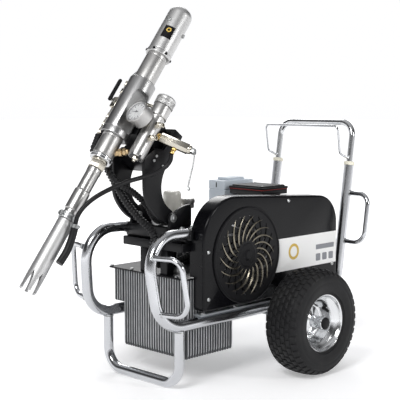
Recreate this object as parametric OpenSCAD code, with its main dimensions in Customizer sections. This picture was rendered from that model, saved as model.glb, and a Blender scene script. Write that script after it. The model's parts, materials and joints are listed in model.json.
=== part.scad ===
// Hydraulic airless paint sprayer on a two-wheeled tube frame, with a tilting pump.
// Millimetres. +Z up, +X towards the push handle, -Y the side with the belt guard.
// The origin is on the ground, in the middle of the footprint box.

/* [Chassis] */
// Distance between the centres of the two side frames
frame_width = 320; // [310:2:330]
// Outer diameter of the side frame tubes
frame_tube_d = 33.7; // [32:0.1:34]
// Height of the side frames' lower rail centre
rail_z = 191; // [190:1:194]
// Outer diameter of the front foot tube
foot_tube_d = 30; // [26:1:32]
// Outer diameter of the lift handle rod
lift_rod_d = 16; // [12:1:18]
// Thickness of the base plate
base_plate_t = 6; // [4:1:8]

/* [Wheels] */
// Outer diameter of the tyres
tyre_d = 330; // [326:1:332]
// Width of the tyres
tyre_w = 125; // [110:1:130]
// Distance between the centres of the two tyres
track = 624; // [610:2:640]
// Distance from the origin back to the axle
axle_x = 220; // [215:1:225]
// Diameter of the axle
axle_d = 18; // [16:1:18]

/* [Oil tank] */
// Length of the tank from front to back
tank_l = 210; // [200:1:212]
// Width of the tank between the side frames
tank_w = 285; // [280:1:286]
// Height of the tank's underside above the ground
tank_z = 78; // [60:1:90]
// Distance from one cooling fin to the next
fin_pitch = 11; // [10:0.5:14]

/* [Drive] */
// Outer radius of the motor frame
motor_r = 95; // [88:1:96]
// Radius of the motor's belt pulley
drive_pulley_r = 60; // [50:1:70]
// Radius of the hydraulic pump's belt pulley
driven_pulley_r = 105; // [90:1:110]
// Depth of the belt guard from its open back to its face
guard_depth = 56; // [54:1:60]
// Number of curved slots in the vent cover
vent_slots = 18; // [12:1:20]

/* [Pump] */
// Lean of the pump from the vertical, in degrees, with the cart parked
pump_lean = 37; // [35:1:38]
// Length of the pump from the suction foot to the top of its cap
pump_l = 984; // [980:1:990]
// Radius of the machined block in the middle of the pump
block_r = 41; // [40:0.5:42]
// Diameter of the pressure gauge
gauge_d = 71; // [60:1:71]

/* [Handle] */
// Outer diameter of the telescoping handle tube
handle_tube_d = 22; // [20:1:22]
// Height of the handle bar's centre above the ground
handle_z = 767; // [750:1:790]
// Diameter of the hose hanger's wire
hanger_d = 8; // [6:1:9]

/* [Hidden] */
$fn = 48;

frame_r = frame_tube_d / 2;
side_y = frame_width / 2;
rail_top = rail_z + frame_r;
// Corners of the right side frame's route, with y as a share of its own sign
frame_top_y = side_y - 23;
frame_front = [-312, frame_top_y, 458];
frame_low_front = [-280, side_y, rail_z];
frame_low_rear = [542.5, side_y, rail_z];
sleeve_top = [609, side_y, 622];
sleeve_up = unit(sleeve_top - frame_low_rear);
sleeve_depth = 320;
frame_bend = 95;
foot_x = -202;

beam_front = -150;
beam_size = [65, 264, 43];
beam_z = 426;
pivot = [-158, 0, 498];
pivot_pin_r = 10;
leg_y = 62;
leg_t = 14;
bracket_y = 80;
bracket_t = 10;

wheel_r = tyre_d / 2;
axle_r = axle_d / 2;
running = 0.05;

plate_z = rail_top + 0.15;
plate_top = plate_z + base_plate_t;
tank_front = -159;
tank_split_z = plate_top + 0.5;
tank_top = 317;
tank_side_step = 46;
fin_depth = 9;
fin_w = 5;
lid_t = 5;
neck_top = 516;

motor_x = 338;
motor_z = 425;
motor_shaft_r = 12;
pump_x = 55;
pump_z = 376;
pump_shaft_r = 11;
guard_back = -134;
guard_face = guard_back - guard_depth;
guard_t = 3;
pulley_back = -148;
pulley_w = 32;
belt_gap = 0.4;
belt_t = 8;

foot_tip = [-618, 0, 333];
gauge_r = gauge_d / 2;
gauge_at = [-32, -80, 580];
filter_at = [50, -75];
relief_start = [85, -90, 570];
relief_turn = -51.5;
relief_l = 97;
valve_at = [-8, 54];

// The low-pressure return hose, from the relief valve down to the suction foot
return_route = [
    [-203, -129, 690], [-204, -127, 674], [-213, -120, 657], [-230, -110, 644], [-257, -101, 633],
    [-291, -92, 625], [-332, -86, 617], [-372, -78, 604], [-408, -68, 589], [-435, -58, 573],
    [-459, -48, 552], [-476, -42, 528], [-484, -41, 505]
];
return_tail = [[-484, -41, 505], [-492, -41, 480], [-502, -41, 456], [-517, -41, 430], [-541, -41, 403]];

// Oil hoses that cross the pump's pivot, wrapped in a guard spiral
feed_hose_route = [
    [-319, 54, 743], [-332, 50, 723], [-345, 47, 700], [-338, 44, 678], [-313, 40, 662], [-295, 30, 624],
    [-286, 15, 595], [-260, 0, 544], [-228, -20, 496], [-200, -30, 468], [-184, -34, 440], [-186, -30, 412],
    [-182, -18, 385], [-166, -6, 362], [-138, -2, 348], [-100, -4, 345], [-55, -12, 352], [-20, -18, 366],
    [11, -20, 376]
];
drain_hose_route = [
    [-285, 36, 712], [-302, 26, 683], [-316, 14, 657], [-323, 4, 640], [-314, -2, 622], [-290, -8, 600],
    [-246, -14, 574], [-204, -20, 538], [-188, -22, 514], [-170, -18, 494], [-140, -5, 482],
    [-105, 15, 484], [-76, 34, 481], [-52, 50, 471]
];

function unit(v) = v / norm(v);
function turn(a, b, c) = acos(unit(b - a) * unit(c - b));
function mirrored(p, s) = [p[0], s * p[1], p[2]];
function arc(c, r, from, to, steps) =
    [for (i = [0:steps]) c + r * [cos(from + (to - from) * i / steps), sin(from + (to - from) * i / steps)]];

// A straight round bar between two points
module rod(a, b, r) {
    d = b - a;
    translate(a)
        rotate([0, acos(d[2] / norm(d)), atan2(d[1], d[0])])
            cylinder(h = norm(d), r = r);
}

// The bend between two straight stretches that meet at b
module elbow(a, b, c, r, bend) {
    u = unit(b - a);
    v = unit(c - b);
    w = unit(v - (u * v) * u);
    k = cross(-w, u);
    centre = b - u * bend * tan(turn(a, b, c) / 2) + w * bend;
    multmatrix([
        [-w[0], u[0], k[0], centre[0]],
        [-w[1], u[1], k[1], centre[1]],
        [-w[2], u[2], k[2], centre[2]],
        [0, 0, 0, 1]
    ])
        rotate_extrude(angle = turn(a, b, c))
            translate([bend, 0])
                circle(r = r + 0.15);
}

// A round tube or rod bent at each inner point of its route
module bent_tube(pts, r, bend) {
    last = len(pts) - 1;
    cut = [for (i = [0:last])
        i == 0 || i == last ? 0 : bend * tan(turn(pts[i - 1], pts[i], pts[i + 1]) / 2)];
    for (i = [0:last - 1]) {
        u = unit(pts[i + 1] - pts[i]);
        start = i == 0 ? 0 : cut[i] - 1;
        end = i == last - 1 ? 0 : cut[i + 1] - 1;
        rod(pts[i] + u * start, pts[i + 1] - u * end, r);
    }
    for (i = [1:last - 1])
        elbow(pts[i - 1], pts[i], pts[i + 1], r, bend);
}

// A flexible hose swept along its own points, with flat facets
module hose(pts, r, sides = 10) {
    last = len(pts) - 1;
    along = [for (i = [0:last]) unit(pts[min(i + 1, last)] - pts[max(i - 1, 0)])];
    across = [for (d = along) unit(cross(d, [0, 1, 0.01]))];
    rings = [for (i = [0:last], k = [0:sides - 1])
        pts[i] + r * (cos(360 * k / sides) * across[i] + sin(360 * k / sides) * cross(along[i], across[i]))];
    walls = [for (i = [0:last - 1], k = [0:sides - 1])
        let (n = (k + 1) % sides) [i * sides + k, (i + 1) * sides + k, (i + 1) * sides + n, i * sides + n]];
    caps = [[for (k = [0:sides - 1]) k], [for (k = [sides - 1:-1:0]) last * sides + k]];
    polyhedron(rings, concat(walls, caps));
}

// Extrudes an outline drawn in X and Z from y = from to y = to
module slab_y(from, to) {
    translate([0, max(from, to), 0])
        rotate([90, 0, 0])
            linear_extrude(abs(to - from))
                children();
}

// Places children on the pump: X towards the cart, Z up along the pump's axis
module on_pump() {
    translate(foot_tip)
        rotate([0, pump_lean, 0])
            children();
}

// A round bar along Y
module bar_y(x, z, from, to, r) {
    translate([x, max(from, to), z])
        rotate([90, 0, 0])
            cylinder(h = abs(to - from), r = r);
}

// A hexagon screw head of the given width over its corners, standing on z = 0
module hex_head(d, h) {
    cylinder(h = h, r = d / 2, $fn = 6);
}

// Side frames

module side_frame(s) {
    color("silver")
        difference() {
            bent_tube([
                [beam_front - 0.4, s * frame_top_y, 455],
                mirrored(frame_front, s),
                mirrored(frame_low_front, s),
                mirrored(frame_low_rear, s),
                mirrored(sleeve_top, s)
            ], frame_r, frame_bend);
            rod(
                mirrored(sleeve_top + sleeve_up, s), mirrored(sleeve_top - sleeve_up * sleeve_depth, s),
                frame_r - 3.3
            );
        }
}

module side_frame_right() {
    side_frame(-1);
}

module side_frame_left() {
    side_frame(1);
}

module front_foot() {
    r = foot_tube_d / 2;
    low = r + 0.15;
    top = rail_z - frame_r + 5;
    color("silver")
        bent_tube([
            [foot_x, -side_y, top], [foot_x, -side_y, low], [foot_x, side_y, low], [foot_x, side_y, top]
        ], r, 62);
}

module lift_handle(low, high, out) {
    bent_tube([high, high + out, low + out, low], lift_rod_d / 2, 38);
}

module lift_handles() {
    front_out = 92 * [sin(18), cos(18), 0];
    color("silver")
        for (s = [-1, 1]) {
            lift_handle(
                mirrored([-283, 168, 240], s), mirrored([-302, 154, 403], s), mirrored(front_out, s)
            );
            lift_handle(
                mirrored([570, side_y + 13, 365], s), mirrored([595, side_y + 13, 528], s), [0, s * 80, 0]
            );
        }
}

module base_plate() {
    half = tank_w / 2 + 2;
    wide = side_y + 12;
    inner = tank_front + tank_l + 2;
    color("dimgray")
        translate([0, 0, plate_z])
            linear_extrude(base_plate_t)
                polygon([
                    [-125, -wide], [450, -wide], [450, -140], [540, -140],
                    [540, 140], [450, 140], [450, wide], [-125, wide],
                    [-125, half], [inner, half], [inner, -half], [-125, -half]
                ]);
}

// Axle and wheels

module axle() {
    color("silver")
        bar_y(axle_x, wheel_r, -track / 2 - 57, track / 2 + 57, axle_r);
}

module axle_brackets() {
    color("dimgray")
        for (s = [-1, 1])
            difference() {
                translate([axle_x - 26, s * side_y - 12, wheel_r - 18])
                    cube([52, 24, rail_z - frame_r - wheel_r + 22]);
                bar_y(axle_x, wheel_r, s * side_y - 20, s * side_y + 20, axle_r + 0.02);
                rod([axle_x - 60, s * side_y, rail_z], [axle_x + 60, s * side_y, rail_z], frame_r);
            }
}

module axle_caps() {
    color("black")
        for (s = [-1, 1])
            difference() {
                bar_y(axle_x, wheel_r, s * (track / 2 + 52.5), s * (track / 2 + 61), 19);
                bar_y(axle_x, wheel_r, s * (track / 2 + 50), s * (track / 2 + 57.2), axle_r + 0.02);
            }
}

// Tyre of one wheel, turned about Y, with its air space
module tyre(s) {
    half = tyre_w / 2;
    shoulder = 30;
    color("black")
        translate([axle_x, s * track / 2, wheel_r])
            rotate([90, 0, 0])
                rotate_extrude($fn = 96)
                    polygon(concat(
                        [[84.4, -39.6], [87.6, -44.2], [89.6, -49], [90, -53], [94, -half + 4]],
                        arc([wheel_r - shoulder, -half + shoulder + 1], shoulder, -80, -8, 6),
                        arc([wheel_r - shoulder, half - shoulder - 1], shoulder, 8, 80, 6),
                        [[94, half - 4], [90, 53], [89.6, 49], [87.6, 44.2], [84.4, 39.6]],
                        [[84.4, 32], [92, 34], [126, 47], [147, 34], [150, 0]],
                        [[147, -34], [126, -47], [92, -34], [84.4, -32]]
                    ));
}

module tyre_right() {
    tyre(-1);
}

module tyre_left() {
    tyre(1);
}

// Steel rim with its disc, hub tube and valve; the dish faces outwards at negative Y
module rim(s) {
    color("silver")
        translate([axle_x, s * track / 2, wheel_r])
            rotate([90, 0, s > 0 ? 180 : 0]) {
                rotate_extrude($fn = 96)
                    polygon([
                        [axle_r + running, -44], [20, -44], [20, -8], [60, -4], [60, -30], [74, -40],
                        [83.5, -46], [83.5, -52], [89, -52], [89, -49], [87, -44], [83.7, -40], [77, -36],
                        [64, -24], [64, 24], [77, 36], [83.7, 40], [87, 44], [89, 49], [89, 52], [83.5, 52],
                        [83.5, 46], [74, 40], [60, 30], [60, 2], [20, -2], [20, 52], [axle_r + running, 52]
                    ]);
                rod([-28, 38, 2], [-42, 48, 34], 4.5);
            }
}

module rim_right() {
    rim(-1);
}

module rim_left() {
    rim(1);
}

// Oil tank

// Outline along one finned edge, from a for the length l, with the fins standing out along o
function finned(a, d, o, l) = let (n = round((l - fin_w) / fin_pitch), p = (l - fin_w) / n)
    [for (i = [0:n], q = [0:3]) if (i < n || q < 2)
        a + d * (i * p + (q == 0 ? 0 : q == 3 ? p : fin_w)) + o * (q < 2 ? fin_depth : 0)];

// The tank's outline with its fins, reaching to y = left on its wide side
function tank_outline(left) = let (
    x0 = tank_front + fin_depth, x1 = tank_front + tank_l - fin_depth,
    y0 = -tank_w / 2 + fin_depth, y1 = left - fin_depth
) concat(
    finned([x0, y0], [1, 0], [0, -1], x1 - x0),
    finned([x1, y0], [0, 1], [1, 0], y1 - y0),
    finned([x1, y1], [-1, 0], [0, 1], x1 - x0),
    finned([x0, y1], [0, -1], [-1, 0], y1 - y0)
);

module tank_inside(left, from, to) {
    wall = fin_depth + 7;
    translate([tank_front + wall, -tank_w / 2 + wall, from])
        cube([tank_l - 2 * wall, left + tank_w / 2 - 2 * wall, to - from]);
}

module oil_tank() {
    narrow = tank_w / 2;
    wide = narrow + tank_side_step;
    color("gray")
        difference() {
            union() {
                translate([0, 0, tank_z])
                    linear_extrude(tank_split_z - tank_z)
                        polygon(tank_outline(narrow));
                translate([0, 0, tank_split_z])
                    linear_extrude(tank_top - tank_split_z)
                        polygon(tank_outline(wide));
            }
            tank_inside(narrow, tank_z + 7, tank_top + 1);
            tank_inside(wide, tank_split_z + 7, tank_top + 1);
        }
}

// The lid, with the filler neck that stands on it
module tank_lid() {
    color("black")
        difference() {
            union() {
                translate([tank_front - 5, -tank_w / 2 - 1, tank_top])
                    cube([tank_l + 10, tank_w + tank_side_step + 15, lid_t]);
                translate([45, 60, tank_top])
                    cylinder(h = neck_top - tank_top, r = 14);
            }
            translate([45, 60, tank_top - 1])
                cylinder(h = neck_top - tank_top + 2, r = 11);
        }
}

module filler_cap() {
    color("silver")
        difference() {
            translate([45, 60, neck_top - 14])
                cylinder(h = 31, r = 25);
            translate([45, 60, neck_top - 15])
                cylinder(h = 15.5, r = 14.2);
        }
}

module filter_head() {
    color("black")
        difference() {
            union() {
                translate([-52, 28, 455])
                    cube([62, 62, 32]);
                translate([-21, 60, tank_top + lid_t])
                    cylinder(h = 455 - tank_top - lid_t, r = 16);
            }
            translate([-21, 60, 470])
                cylinder(h = 20, r = 11);
        }
}

module return_filter() {
    color("white")
        translate([-21, 60, 487])
            rotate_extrude()
                polygon(concat([[0, 0], [25, 0], [29, 4]], arc([20, 66], 9, 0, 90, 5), [[0, 75]]));
}

// Electric motor

module motor_body() {
    color("black")
        difference() {
            union() {
                bar_y(motor_x, motor_z, -118, 70, motor_r);
                translate([motor_x - 88, -84, plate_top])
                    cube([176, 130, 14]);
                translate([motor_x - 62, -84, plate_top])
                    cube([124, 130, motor_z - plate_top]);
            }
            bar_y(motor_x, motor_z, -106, 58, 72);
            bar_y(motor_x, motor_z, -120, 72, motor_shaft_r + running);
        }
}

module fan_cowl() {
    color("black")
        difference() {
            bar_y(motor_x, motor_z, 70, 98, motor_r - 3);
            bar_y(motor_x, motor_z, 69, 95, motor_r - 6);
            for (a = [0:45:315])
                rotate_about_motor(a)
                    translate([motor_x + 30, 90, motor_z - 5])
                        cube([45, 20, 10]);
        }
}

module rotate_about_motor(a) {
    translate([motor_x, 0, motor_z])
        rotate([0, a, 0])
            translate([-motor_x, 0, -motor_z])
                children();
}

module motor_shaft() {
    color("silver") {
        bar_y(motor_x, motor_z, -184, 92, motor_shaft_r);
        bar_y(motor_x, motor_z, -95, 45, 68);
    }
}

module cooling_fan() {
    color("dimgray")
        difference() {
            union() {
                bar_y(motor_x, motor_z, 74, 88, 24);
                for (a = [0:45:315])
                    rotate_about_motor(a)
                        translate([motor_x + 20, 75, motor_z - 2])
                            cube([58, 12, 4]);
            }
            bar_y(motor_x, motor_z, 70, 95, motor_shaft_r + 0.02);
        }
}

module terminal_box() {
    color("black")
        difference() {
            union() {
                translate([274, -60, 532])
                    cube([129, 150, 18]);
                translate([290, -44, 495])
                    cube([96, 110, 37]);
            }
            bar_y(motor_x, motor_z, -120, 100, motor_r + 0.1);
            translate([282, -52, 537])
                cube([113, 134, 30]);
        }
}

module terminal_lid() {
    color("black") {
        translate([272, -62, 550])
            cube([133, 154, 7]);
        translate([280, -54, 557])
            cube([117, 138, 4.5]);
    }
}

module starter_box() {
    color("lightgray")
        difference() {
            union() {
                translate([262, 100, 446])
                    cube([146, 77, 126]);
                translate([300, 112, plate_top])
                    cube([60, 16, 446 - plate_top]);
                translate([290, 104, plate_top])
                    cube([80, 40, 6]);
            }
            translate([267, 105, 451])
                cube([136, 67, 116]);
        }
}

// Belt drive

module drive_pulley() {
    pulley(motor_x, motor_z, drive_pulley_r, motor_shaft_r + 0.02);
}

module pulley(x, z, r, bore_r) {
    groove = 9;
    color("dimgray")
        translate([x, pulley_back, z])
            rotate([90, 0, 0])
                rotate_extrude($fn = 72)
                    polygon([
                        [bore_r, 0], [r - 4, 0], [r - 4, 2], [r - groove, 2 + groove / 2],
                        [r - groove, pulley_w - 2 - groove / 2], [r - 4, pulley_w - 2], [r - 4, pulley_w],
                        [r - 22, pulley_w], [r - 24, 12], [bore_r + 14, 12],
                        [bore_r + 12, pulley_w], [bore_r, pulley_w]
                    ]);
}

module driven_pulley() {
    color("dimgray")
        bar_y(pump_x, pump_z, -182, -90, pump_shaft_r);
    pulley(pump_x, pump_z, driven_pulley_r, pump_shaft_r);
}

// Outline of the band that wraps both pulleys, at a distance d from their rims
function band(d) = let (
    across = motor_x - pump_x, up = motor_z - pump_z, l = norm([across, up]),
    base = atan2(up, across), flare = acos((driven_pulley_r - drive_pulley_r) / l)
) concat(
    arc([motor_x, motor_z], drive_pulley_r + d, base - flare, base + flare, 24),
    arc([pump_x, pump_z], driven_pulley_r + d, base + flare, base + 360 - flare, 32)
);

module drive_belt() {
    color("black")
        slab_y(pulley_back - 8, pulley_back - 24)
            difference() {
                polygon(band(belt_gap + belt_t));
                polygon(band(belt_gap));
            }
}

module hydraulic_pump() {
    color("dimgray")
        difference() {
            union() {
                bar_y(pump_x, pump_z, -106, 24, 40);
                bar_y(pump_x, pump_z, -118, -106, 52);
                translate([pump_x - 54, -120, tank_top + lid_t])
                    cube([108, 14, pump_z - tank_top - lid_t]);
                rod([10, -20, pump_z], [25, -20, pump_z], 14);
            }
            bar_y(pump_x, pump_z, -121, -88, pump_shaft_r + running);
        }
}

// Outline of the belt guard in X and Z, moved in by the inset
function guard_outline(inset) = concat(
    arc([-119, 240], 14 - inset, 180, 270, 4),
    arc([476, 256], 30 - inset, 270, 360, 6),
    arc([411, 438], 95 - inset, 0, 86.2, 12),
    arc([1, 425], 134 - inset, 86.2, 180, 14)
);

module belt_guard() {
    color("black")
        difference() {
            slab_y(guard_back, guard_face)
                polygon(guard_outline(0));
            slab_y(guard_back + 1, guard_face + guard_t)
                polygon(guard_outline(guard_t));
            bar_y(pump_x, pump_z, guard_face - 1, guard_face + 5, 138);
            translate([tank_front, -tank_w / 2 - 4, 200])
                cube([tank_l + 10, 30, tank_top + lid_t - 196]);
        }
}

// One curved slot of the vent cover, from its inner to its outer radius
function vent_slot(a) = let (steps = 7, r0 = 42, r1 = 124, sweep = 46) concat(
    [for (i = [0:steps]) polar(r0 + (r1 - r0) * i / steps, a + sweep * i / steps)],
    [for (i = [steps:-1:0])
        polar(r0 + (r1 - r0) * i / steps, a + 2 + sweep * i / steps + 6 * sin(180 * i / steps))]
);
function polar(r, a) = [pump_x + r * cos(a), pump_z + r * sin(a)];

module vent_cover() {
    color("black") {
        slab_y(guard_face - 0.2, guard_face - 4)
            difference() {
                translate([pump_x, pump_z])
                    circle(r = 148);
                for (i = [0:vent_slots - 1])
                    polygon(vent_slot(i * 360 / vent_slots));
            }
        bar_y(pump_x, pump_z, guard_face - 4, guard_face - 9, 12);
    }
}

// Screws that hold the guard, the lid and the base plate: one head for each place
module chassis_screws() {
    color("silver") {
        for (p = [[-112, 402], [-112, 262], [480, 300], [250, 250], [250, 528]])
            translate([p[0], guard_face - 0.05, p[1]])
                rotate([90, 0, 0])
                    cylinder(h = 4, r = 6);
        for (x = [tank_front + 3, tank_front + tank_l - 3], y = [-100, 0, 100, 195])
            translate([x, y, tank_top + lid_t])
                hex_head(12, 5);
        for (p = [[-110, -1], [30, -1], [300, -1], [430, -1], [300, 1], [430, 1]])
            translate([p[0], p[1] * (side_y + 4), plate_top])
                hex_head(14, 6);
    }
}

// Pump pivot on the chassis

module pivot_beam() {
    color("black")
        translate([beam_front, -beam_size[1] / 2, beam_z])
            cube(beam_size);
}

module pivot_stand() {
    color("gray") {
        translate([beam_front - 15, -132, beam_z - 26])
            cube([65, 264, 26]);
        for (s = [-1, 1])
            translate([-157, s * 45 - 15, tank_top + lid_t])
                cube([30, 30, beam_z - 26 - tank_top - lid_t]);
    }
}

module pivot_brackets() {
    foot = [beam_front + beam_size[0], beam_z + beam_size[2]];
    curve = [for (a = [0:9:90]) foot + [-88 * cos(a), 66 * sin(a)]];
    color("black")
        for (s = [-1, 1])
            difference() {
                slab_y(s * bracket_y, s * (bracket_y + bracket_t))
                    union() {
                        polygon(concat([foot], curve));
                        translate([pivot[0], pivot[2]])
                            circle(r = 16);
                    }
                bar_y(
                    pivot[0], pivot[2], s * (bracket_y - 5), s * (bracket_y + bracket_t + 5),
                    pivot_pin_r + 0.02
                );
            }
}

module pivot_pins() {
    out = bracket_y + bracket_t;
    color("silver")
        for (s = [-1, 1]) {
            bar_y(pivot[0], pivot[2], s * (leg_y - 4), s * out, pivot_pin_r);
            bar_y(pivot[0], pivot[2], s * out, s * (out + 5), 13);
        }
}

// Push handle

module handle_bushings() {
    color("beige")
        for (s = [-1, 1])
            difference() {
                union() {
                    rod(mirrored(sleeve_top, s), mirrored(sleeve_top + 13 * sleeve_up, s), 18.5);
                    rod(
                        mirrored(sleeve_top - 26 * sleeve_up, s), mirrored(sleeve_top + 5 * sleeve_up, s),
                        frame_r - 3.35
                    );
                }
                rod(
                    mirrored(sleeve_top - 30 * sleeve_up, s), mirrored(sleeve_top + 20 * sleeve_up, s),
                    handle_tube_d / 2 + 0.04
                );
            }
}

module handle_tube() {
    rise = (handle_z - sleeve_top[2]) / sleeve_up[2];
    high = sleeve_top + sleeve_up * rise;
    low = sleeve_top - sleeve_up * 290;
    color("silver")
        bent_tube([mirrored(low, -1), mirrored(high, -1), high, low], handle_tube_d / 2, 50);
}

module hose_hanger() {
    foot = sleeve_top + sleeve_up * 20;
    knee = [556, side_y, 664];
    top = [541, side_y, 757];
    color("silver")
        bent_tube([
            mirrored(foot, -1), mirrored(knee, -1), mirrored(top, -1), top, knee, foot
        ], hanger_d / 2, 16);
}

// Tilting pump

module fork_arm() {
    color("black") {
        for (s = [-1, 1])
            difference() {
                slab_y(s * leg_y, s * (leg_y + leg_t))
                    union() {
                        polygon([
                            [-262, 694], [-257, 640], [-256, 590], [-250, 558], [-234, 530], [-210, 503],
                            [-174, 485], [-142, 485], [-137, 508], [-152, 520], [-175, 540], [-189, 568],
                            [-191, 601], [-179, 637], [-150, 676], [-104.5, 737], [-134.5, 760], [-180, 700],
                            [-214, 706]
                        ]);
                        translate([pivot[0], pivot[2]])
                            circle(r = 21);
                    }
                bar_y(pivot[0], pivot[2], s * (leg_y - 5), s * (leg_y + leg_t + 5), pivot_pin_r + running);
                on_pump()
                    translate([0, s * 70 - 20, 400])
                        cube([82, 40, 200]);
            }
        on_pump()
            slab_y(-leg_y, leg_y)
                polygon([[97, 500], [165, 500], [165, 530], [150, 546], [97, 546]]);
        on_pump()
            slab_y(-42, 60)
                polygon([[36, 546], [150, 546], [150, 610], [104, 640], [36, 640]]);
        on_pump()
            slab_y(-leg_y, leg_y)
                polygon([[129, 570], [167, 570], [167, 632], [129, 632]]);
    }
}

module pump_block() {
    color("silver")
        on_pump()
            difference() {
                translate([0, 0, 508])
                    cylinder(h = 196, r = block_r);
                translate([36, -50, 500])
                    cube([20, 100, 220]);
                translate([-30, -50, 528])
                    cube([52, 24, 136]);
                translate([0, 0, 500])
                    cylinder(h = 210, r = 18);
            }
}

module hydraulic_cylinder() {
    color("silver")
        on_pump()
            difference() {
                translate([0, 0, 704])
                    cylinder(h = 96, r = 32.5);
                translate([0, 0, 700])
                    cylinder(h = 104, r = 24);
            }
}

module cylinder_head() {
    color("silver")
        on_pump()
            difference() {
                union() {
                    translate([0, 0, 800])
                        rotate_extrude()
                            polygon(concat(
                                [[0, 0], [39, 0], [39, 14], [37.5, 16]],
                                arc([11.5, pump_l - 830], 26, 0, 80, 6), [[0, pump_l - 800]]
                            ));
                    rod([-30, 0, 948], [-43, 0, 948], 8);
                    rod([0, 30, 850], [0, 46, 850], 8);
                }
                translate([0, 0, 798])
                    cylinder(h = 147, r = 24);
            }
}

module head_screws() {
    color("dimgray")
        on_pump()
            for (a = [0:60:300])
                rotate([0, 0, a + 20])
                    rod([39, 0, 807], [42, 0, 807], 4);
}

module fluid_cylinder() {
    color("silver")
        on_pump()
            difference() {
                translate([0, 0, 440])
                    cylinder(h = 68, r = 31);
                translate([0, 0, 438])
                    cylinder(h = 72, r = 18);
            }
}

module foot_valve() {
    color("silver")
        on_pump()
            difference() {
                union() {
                    translate([0, 0, 426])
                        cylinder(h = 14, r = 33.5);
                    translate([0, 0, 396])
                        cylinder(h = 30, r = 25, $fn = 6);
                }
                translate([0, 0, 390])
                    cylinder(h = 60, r = 15);
            }
}

module suction_pipe() {
    color("silver")
        on_pump()
            difference() {
                union() {
                    translate([0, 0, 200])
                        cylinder(h = 196, r = 20.5);
                    translate([0, 0, 256])
                        cylinder(h = 66, r = 23.5);
                }
                translate([0, 0, 198])
                    cylinder(h = 200, r = 16);
            }
}

module suction_foot() {
    color("silver")
        on_pump()
            difference() {
                cylinder(h = 222, r1 = 25.5, r2 = 24);
                translate([0, 0, -1])
                    cylinder(h = 224, r = 20.6);
                for (a = [0:60:120])
                    rotate([90, 0, a])
                        translate([0, 0, -40])
                            linear_extrude(80)
                                polygon([[-9, -2], [9, -2], [7, 30], [0, 58], [-7, 30]]);
            }
}

module pipe_clamp() {
    color("silver")
        on_pump() {
            difference() {
                union() {
                    translate([0, 0, 224])
                        cylinder(h = 20, r = 27);
                    translate([-34, -6, 226])
                        cube([14, 12, 16]);
                }
                translate([0, 0, 222])
                    cylinder(h = 24, r = 20.6);
            }
            rod([-30, -9, 234], [-30, 9, 234], 3.5);
        }
}

module pressure_gauge() {
    color("silver")
        on_pump() {
            difference() {
                rod(gauge_at, gauge_at + [40, 0, 0], gauge_r);
                rod(gauge_at - [1, 0, 0], gauge_at + [5, 0, 0], gauge_r - 3.5);
                rod(gauge_at, gauge_at + [12, 0, 0], 1.55);
            }
            rod(gauge_at + [40, 0, 0], gauge_at + [46, 0, 0], 8);
            rod([14, -84, gauge_at[2]], [14, -26, gauge_at[2]], 5);
        }
}

module gauge_needle() {
    color("black")
        on_pump()
            translate(gauge_at) {
                rod([2, 0, 0], [11, 0, 0], 1.5);
                translate([2, -2, -8])
                    cube([1.2, 4, 8]);
                translate([2, -1, 0])
                    cube([1.2, 2, 24]);
                rod([1, 0, 0], [3.2, 0, 0], 4);
            }
}

module filter_body() {
    color("silver")
        on_pump()
            difference() {
                union() {
                    translate([filter_at[0], filter_at[1], 475])
                        cylinder(h = 140, r = 24.5);
                    translate([filter_at[0], filter_at[1], 615])
                        cylinder(h = 38, r = 28);
                    rod([28, -28, 646], [42, -60, 646], 5.5);
                }
                translate([filter_at[0], filter_at[1], 485])
                    cylinder(h = 170, r = 19);
            }
}

module filter_cap() {
    color("silver")
        on_pump()
            translate([filter_at[0], filter_at[1], 653])
                rotate_extrude()
                    polygon(concat([[0, 0], [30, 0], [30, 20]], arc([22, 23], 8, 0, 90, 4), [[0, 33]]));
}

module outlet_fittings() {
    color("silver")
        on_pump() {
            for (s = [585, 540])
                translate([44, -98, s])
                    rotate([90, 0, 0]) {
                        cylinder(h = 14, r = 10.5, $fn = 6);
                        cylinder(h = 28, r = 7);
                    }
            rod([20, -20, 466], [33, -57, 484], 9);
            rod([20, 22, 522], [38, 36, 522], 7);
            rod([38, 36, 508], [38, 36, 530], 9);
        }
}

// Places children on the relief valve: X along the valve, Y along the lever's pin
module on_relief() {
    on_pump()
        translate(relief_start)
            rotate([0, 0, relief_turn])
                children();
}

module relief_valve() {
    color("silver")
        on_relief() {
            rotate([0, 90, 0])
                cylinder(h = relief_l, r = 15.5, $fn = 8);
            rod([-16, 0, 0], [0, 0, 0], 9);
            rod([50, 0, -13], [50, 0, -34], 7);
            for (s = [-1, 1])
                translate([relief_l, s * 7 - 2, -7])
                    cube([16, 4, 14]);
            rod([relief_l + 9, -12, 0], [relief_l + 9, 12, 0], 3);
        }
}

module relief_lever() {
    color("silver")
        on_relief()
            translate([relief_l + 9, 0, 0])
                difference() {
                    union() {
                        rod([0, -4.5, 0], [0, 4.5, 0], 6.5);
                        bent_tube([[3, 0, -4], [14, 0, -34], [32, 0, -112], [40, 0, -112]], 3, 5);
                    }
                    rod([0, -6, 0], [0, 6, 0], 3 + running);
                }
}

module shutoff_valve() {
    x = valve_at[0];
    y = valve_at[1];
    color("silver")
        on_pump() {
            difference() {
                translate([x - 13, y - 12, 604])
                    cube([26, 24, 34]);
                rod([x - 14, y, 621], [x - 4, y, 621], 4 + running);
            }
            rod([x, y, 638], [x, y, 702], 6);
            for (s = [658, 686])
                translate([x, y, s])
                    cylinder(h = 14, r = 10.5, $fn = 6);
            for (s = [512, 540, 566])
                translate([x, y, s])
                    cylinder(h = 20, r = 11, $fn = 6);
            rod([x, y, 512], [x, y, 604], 8);
            bent_tube([[x, y, 700], [x, y, 720], [0, 47, 750], [0, 47, 850], [0, 40, 850]], 4.5, 6);
        }
}

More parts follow.
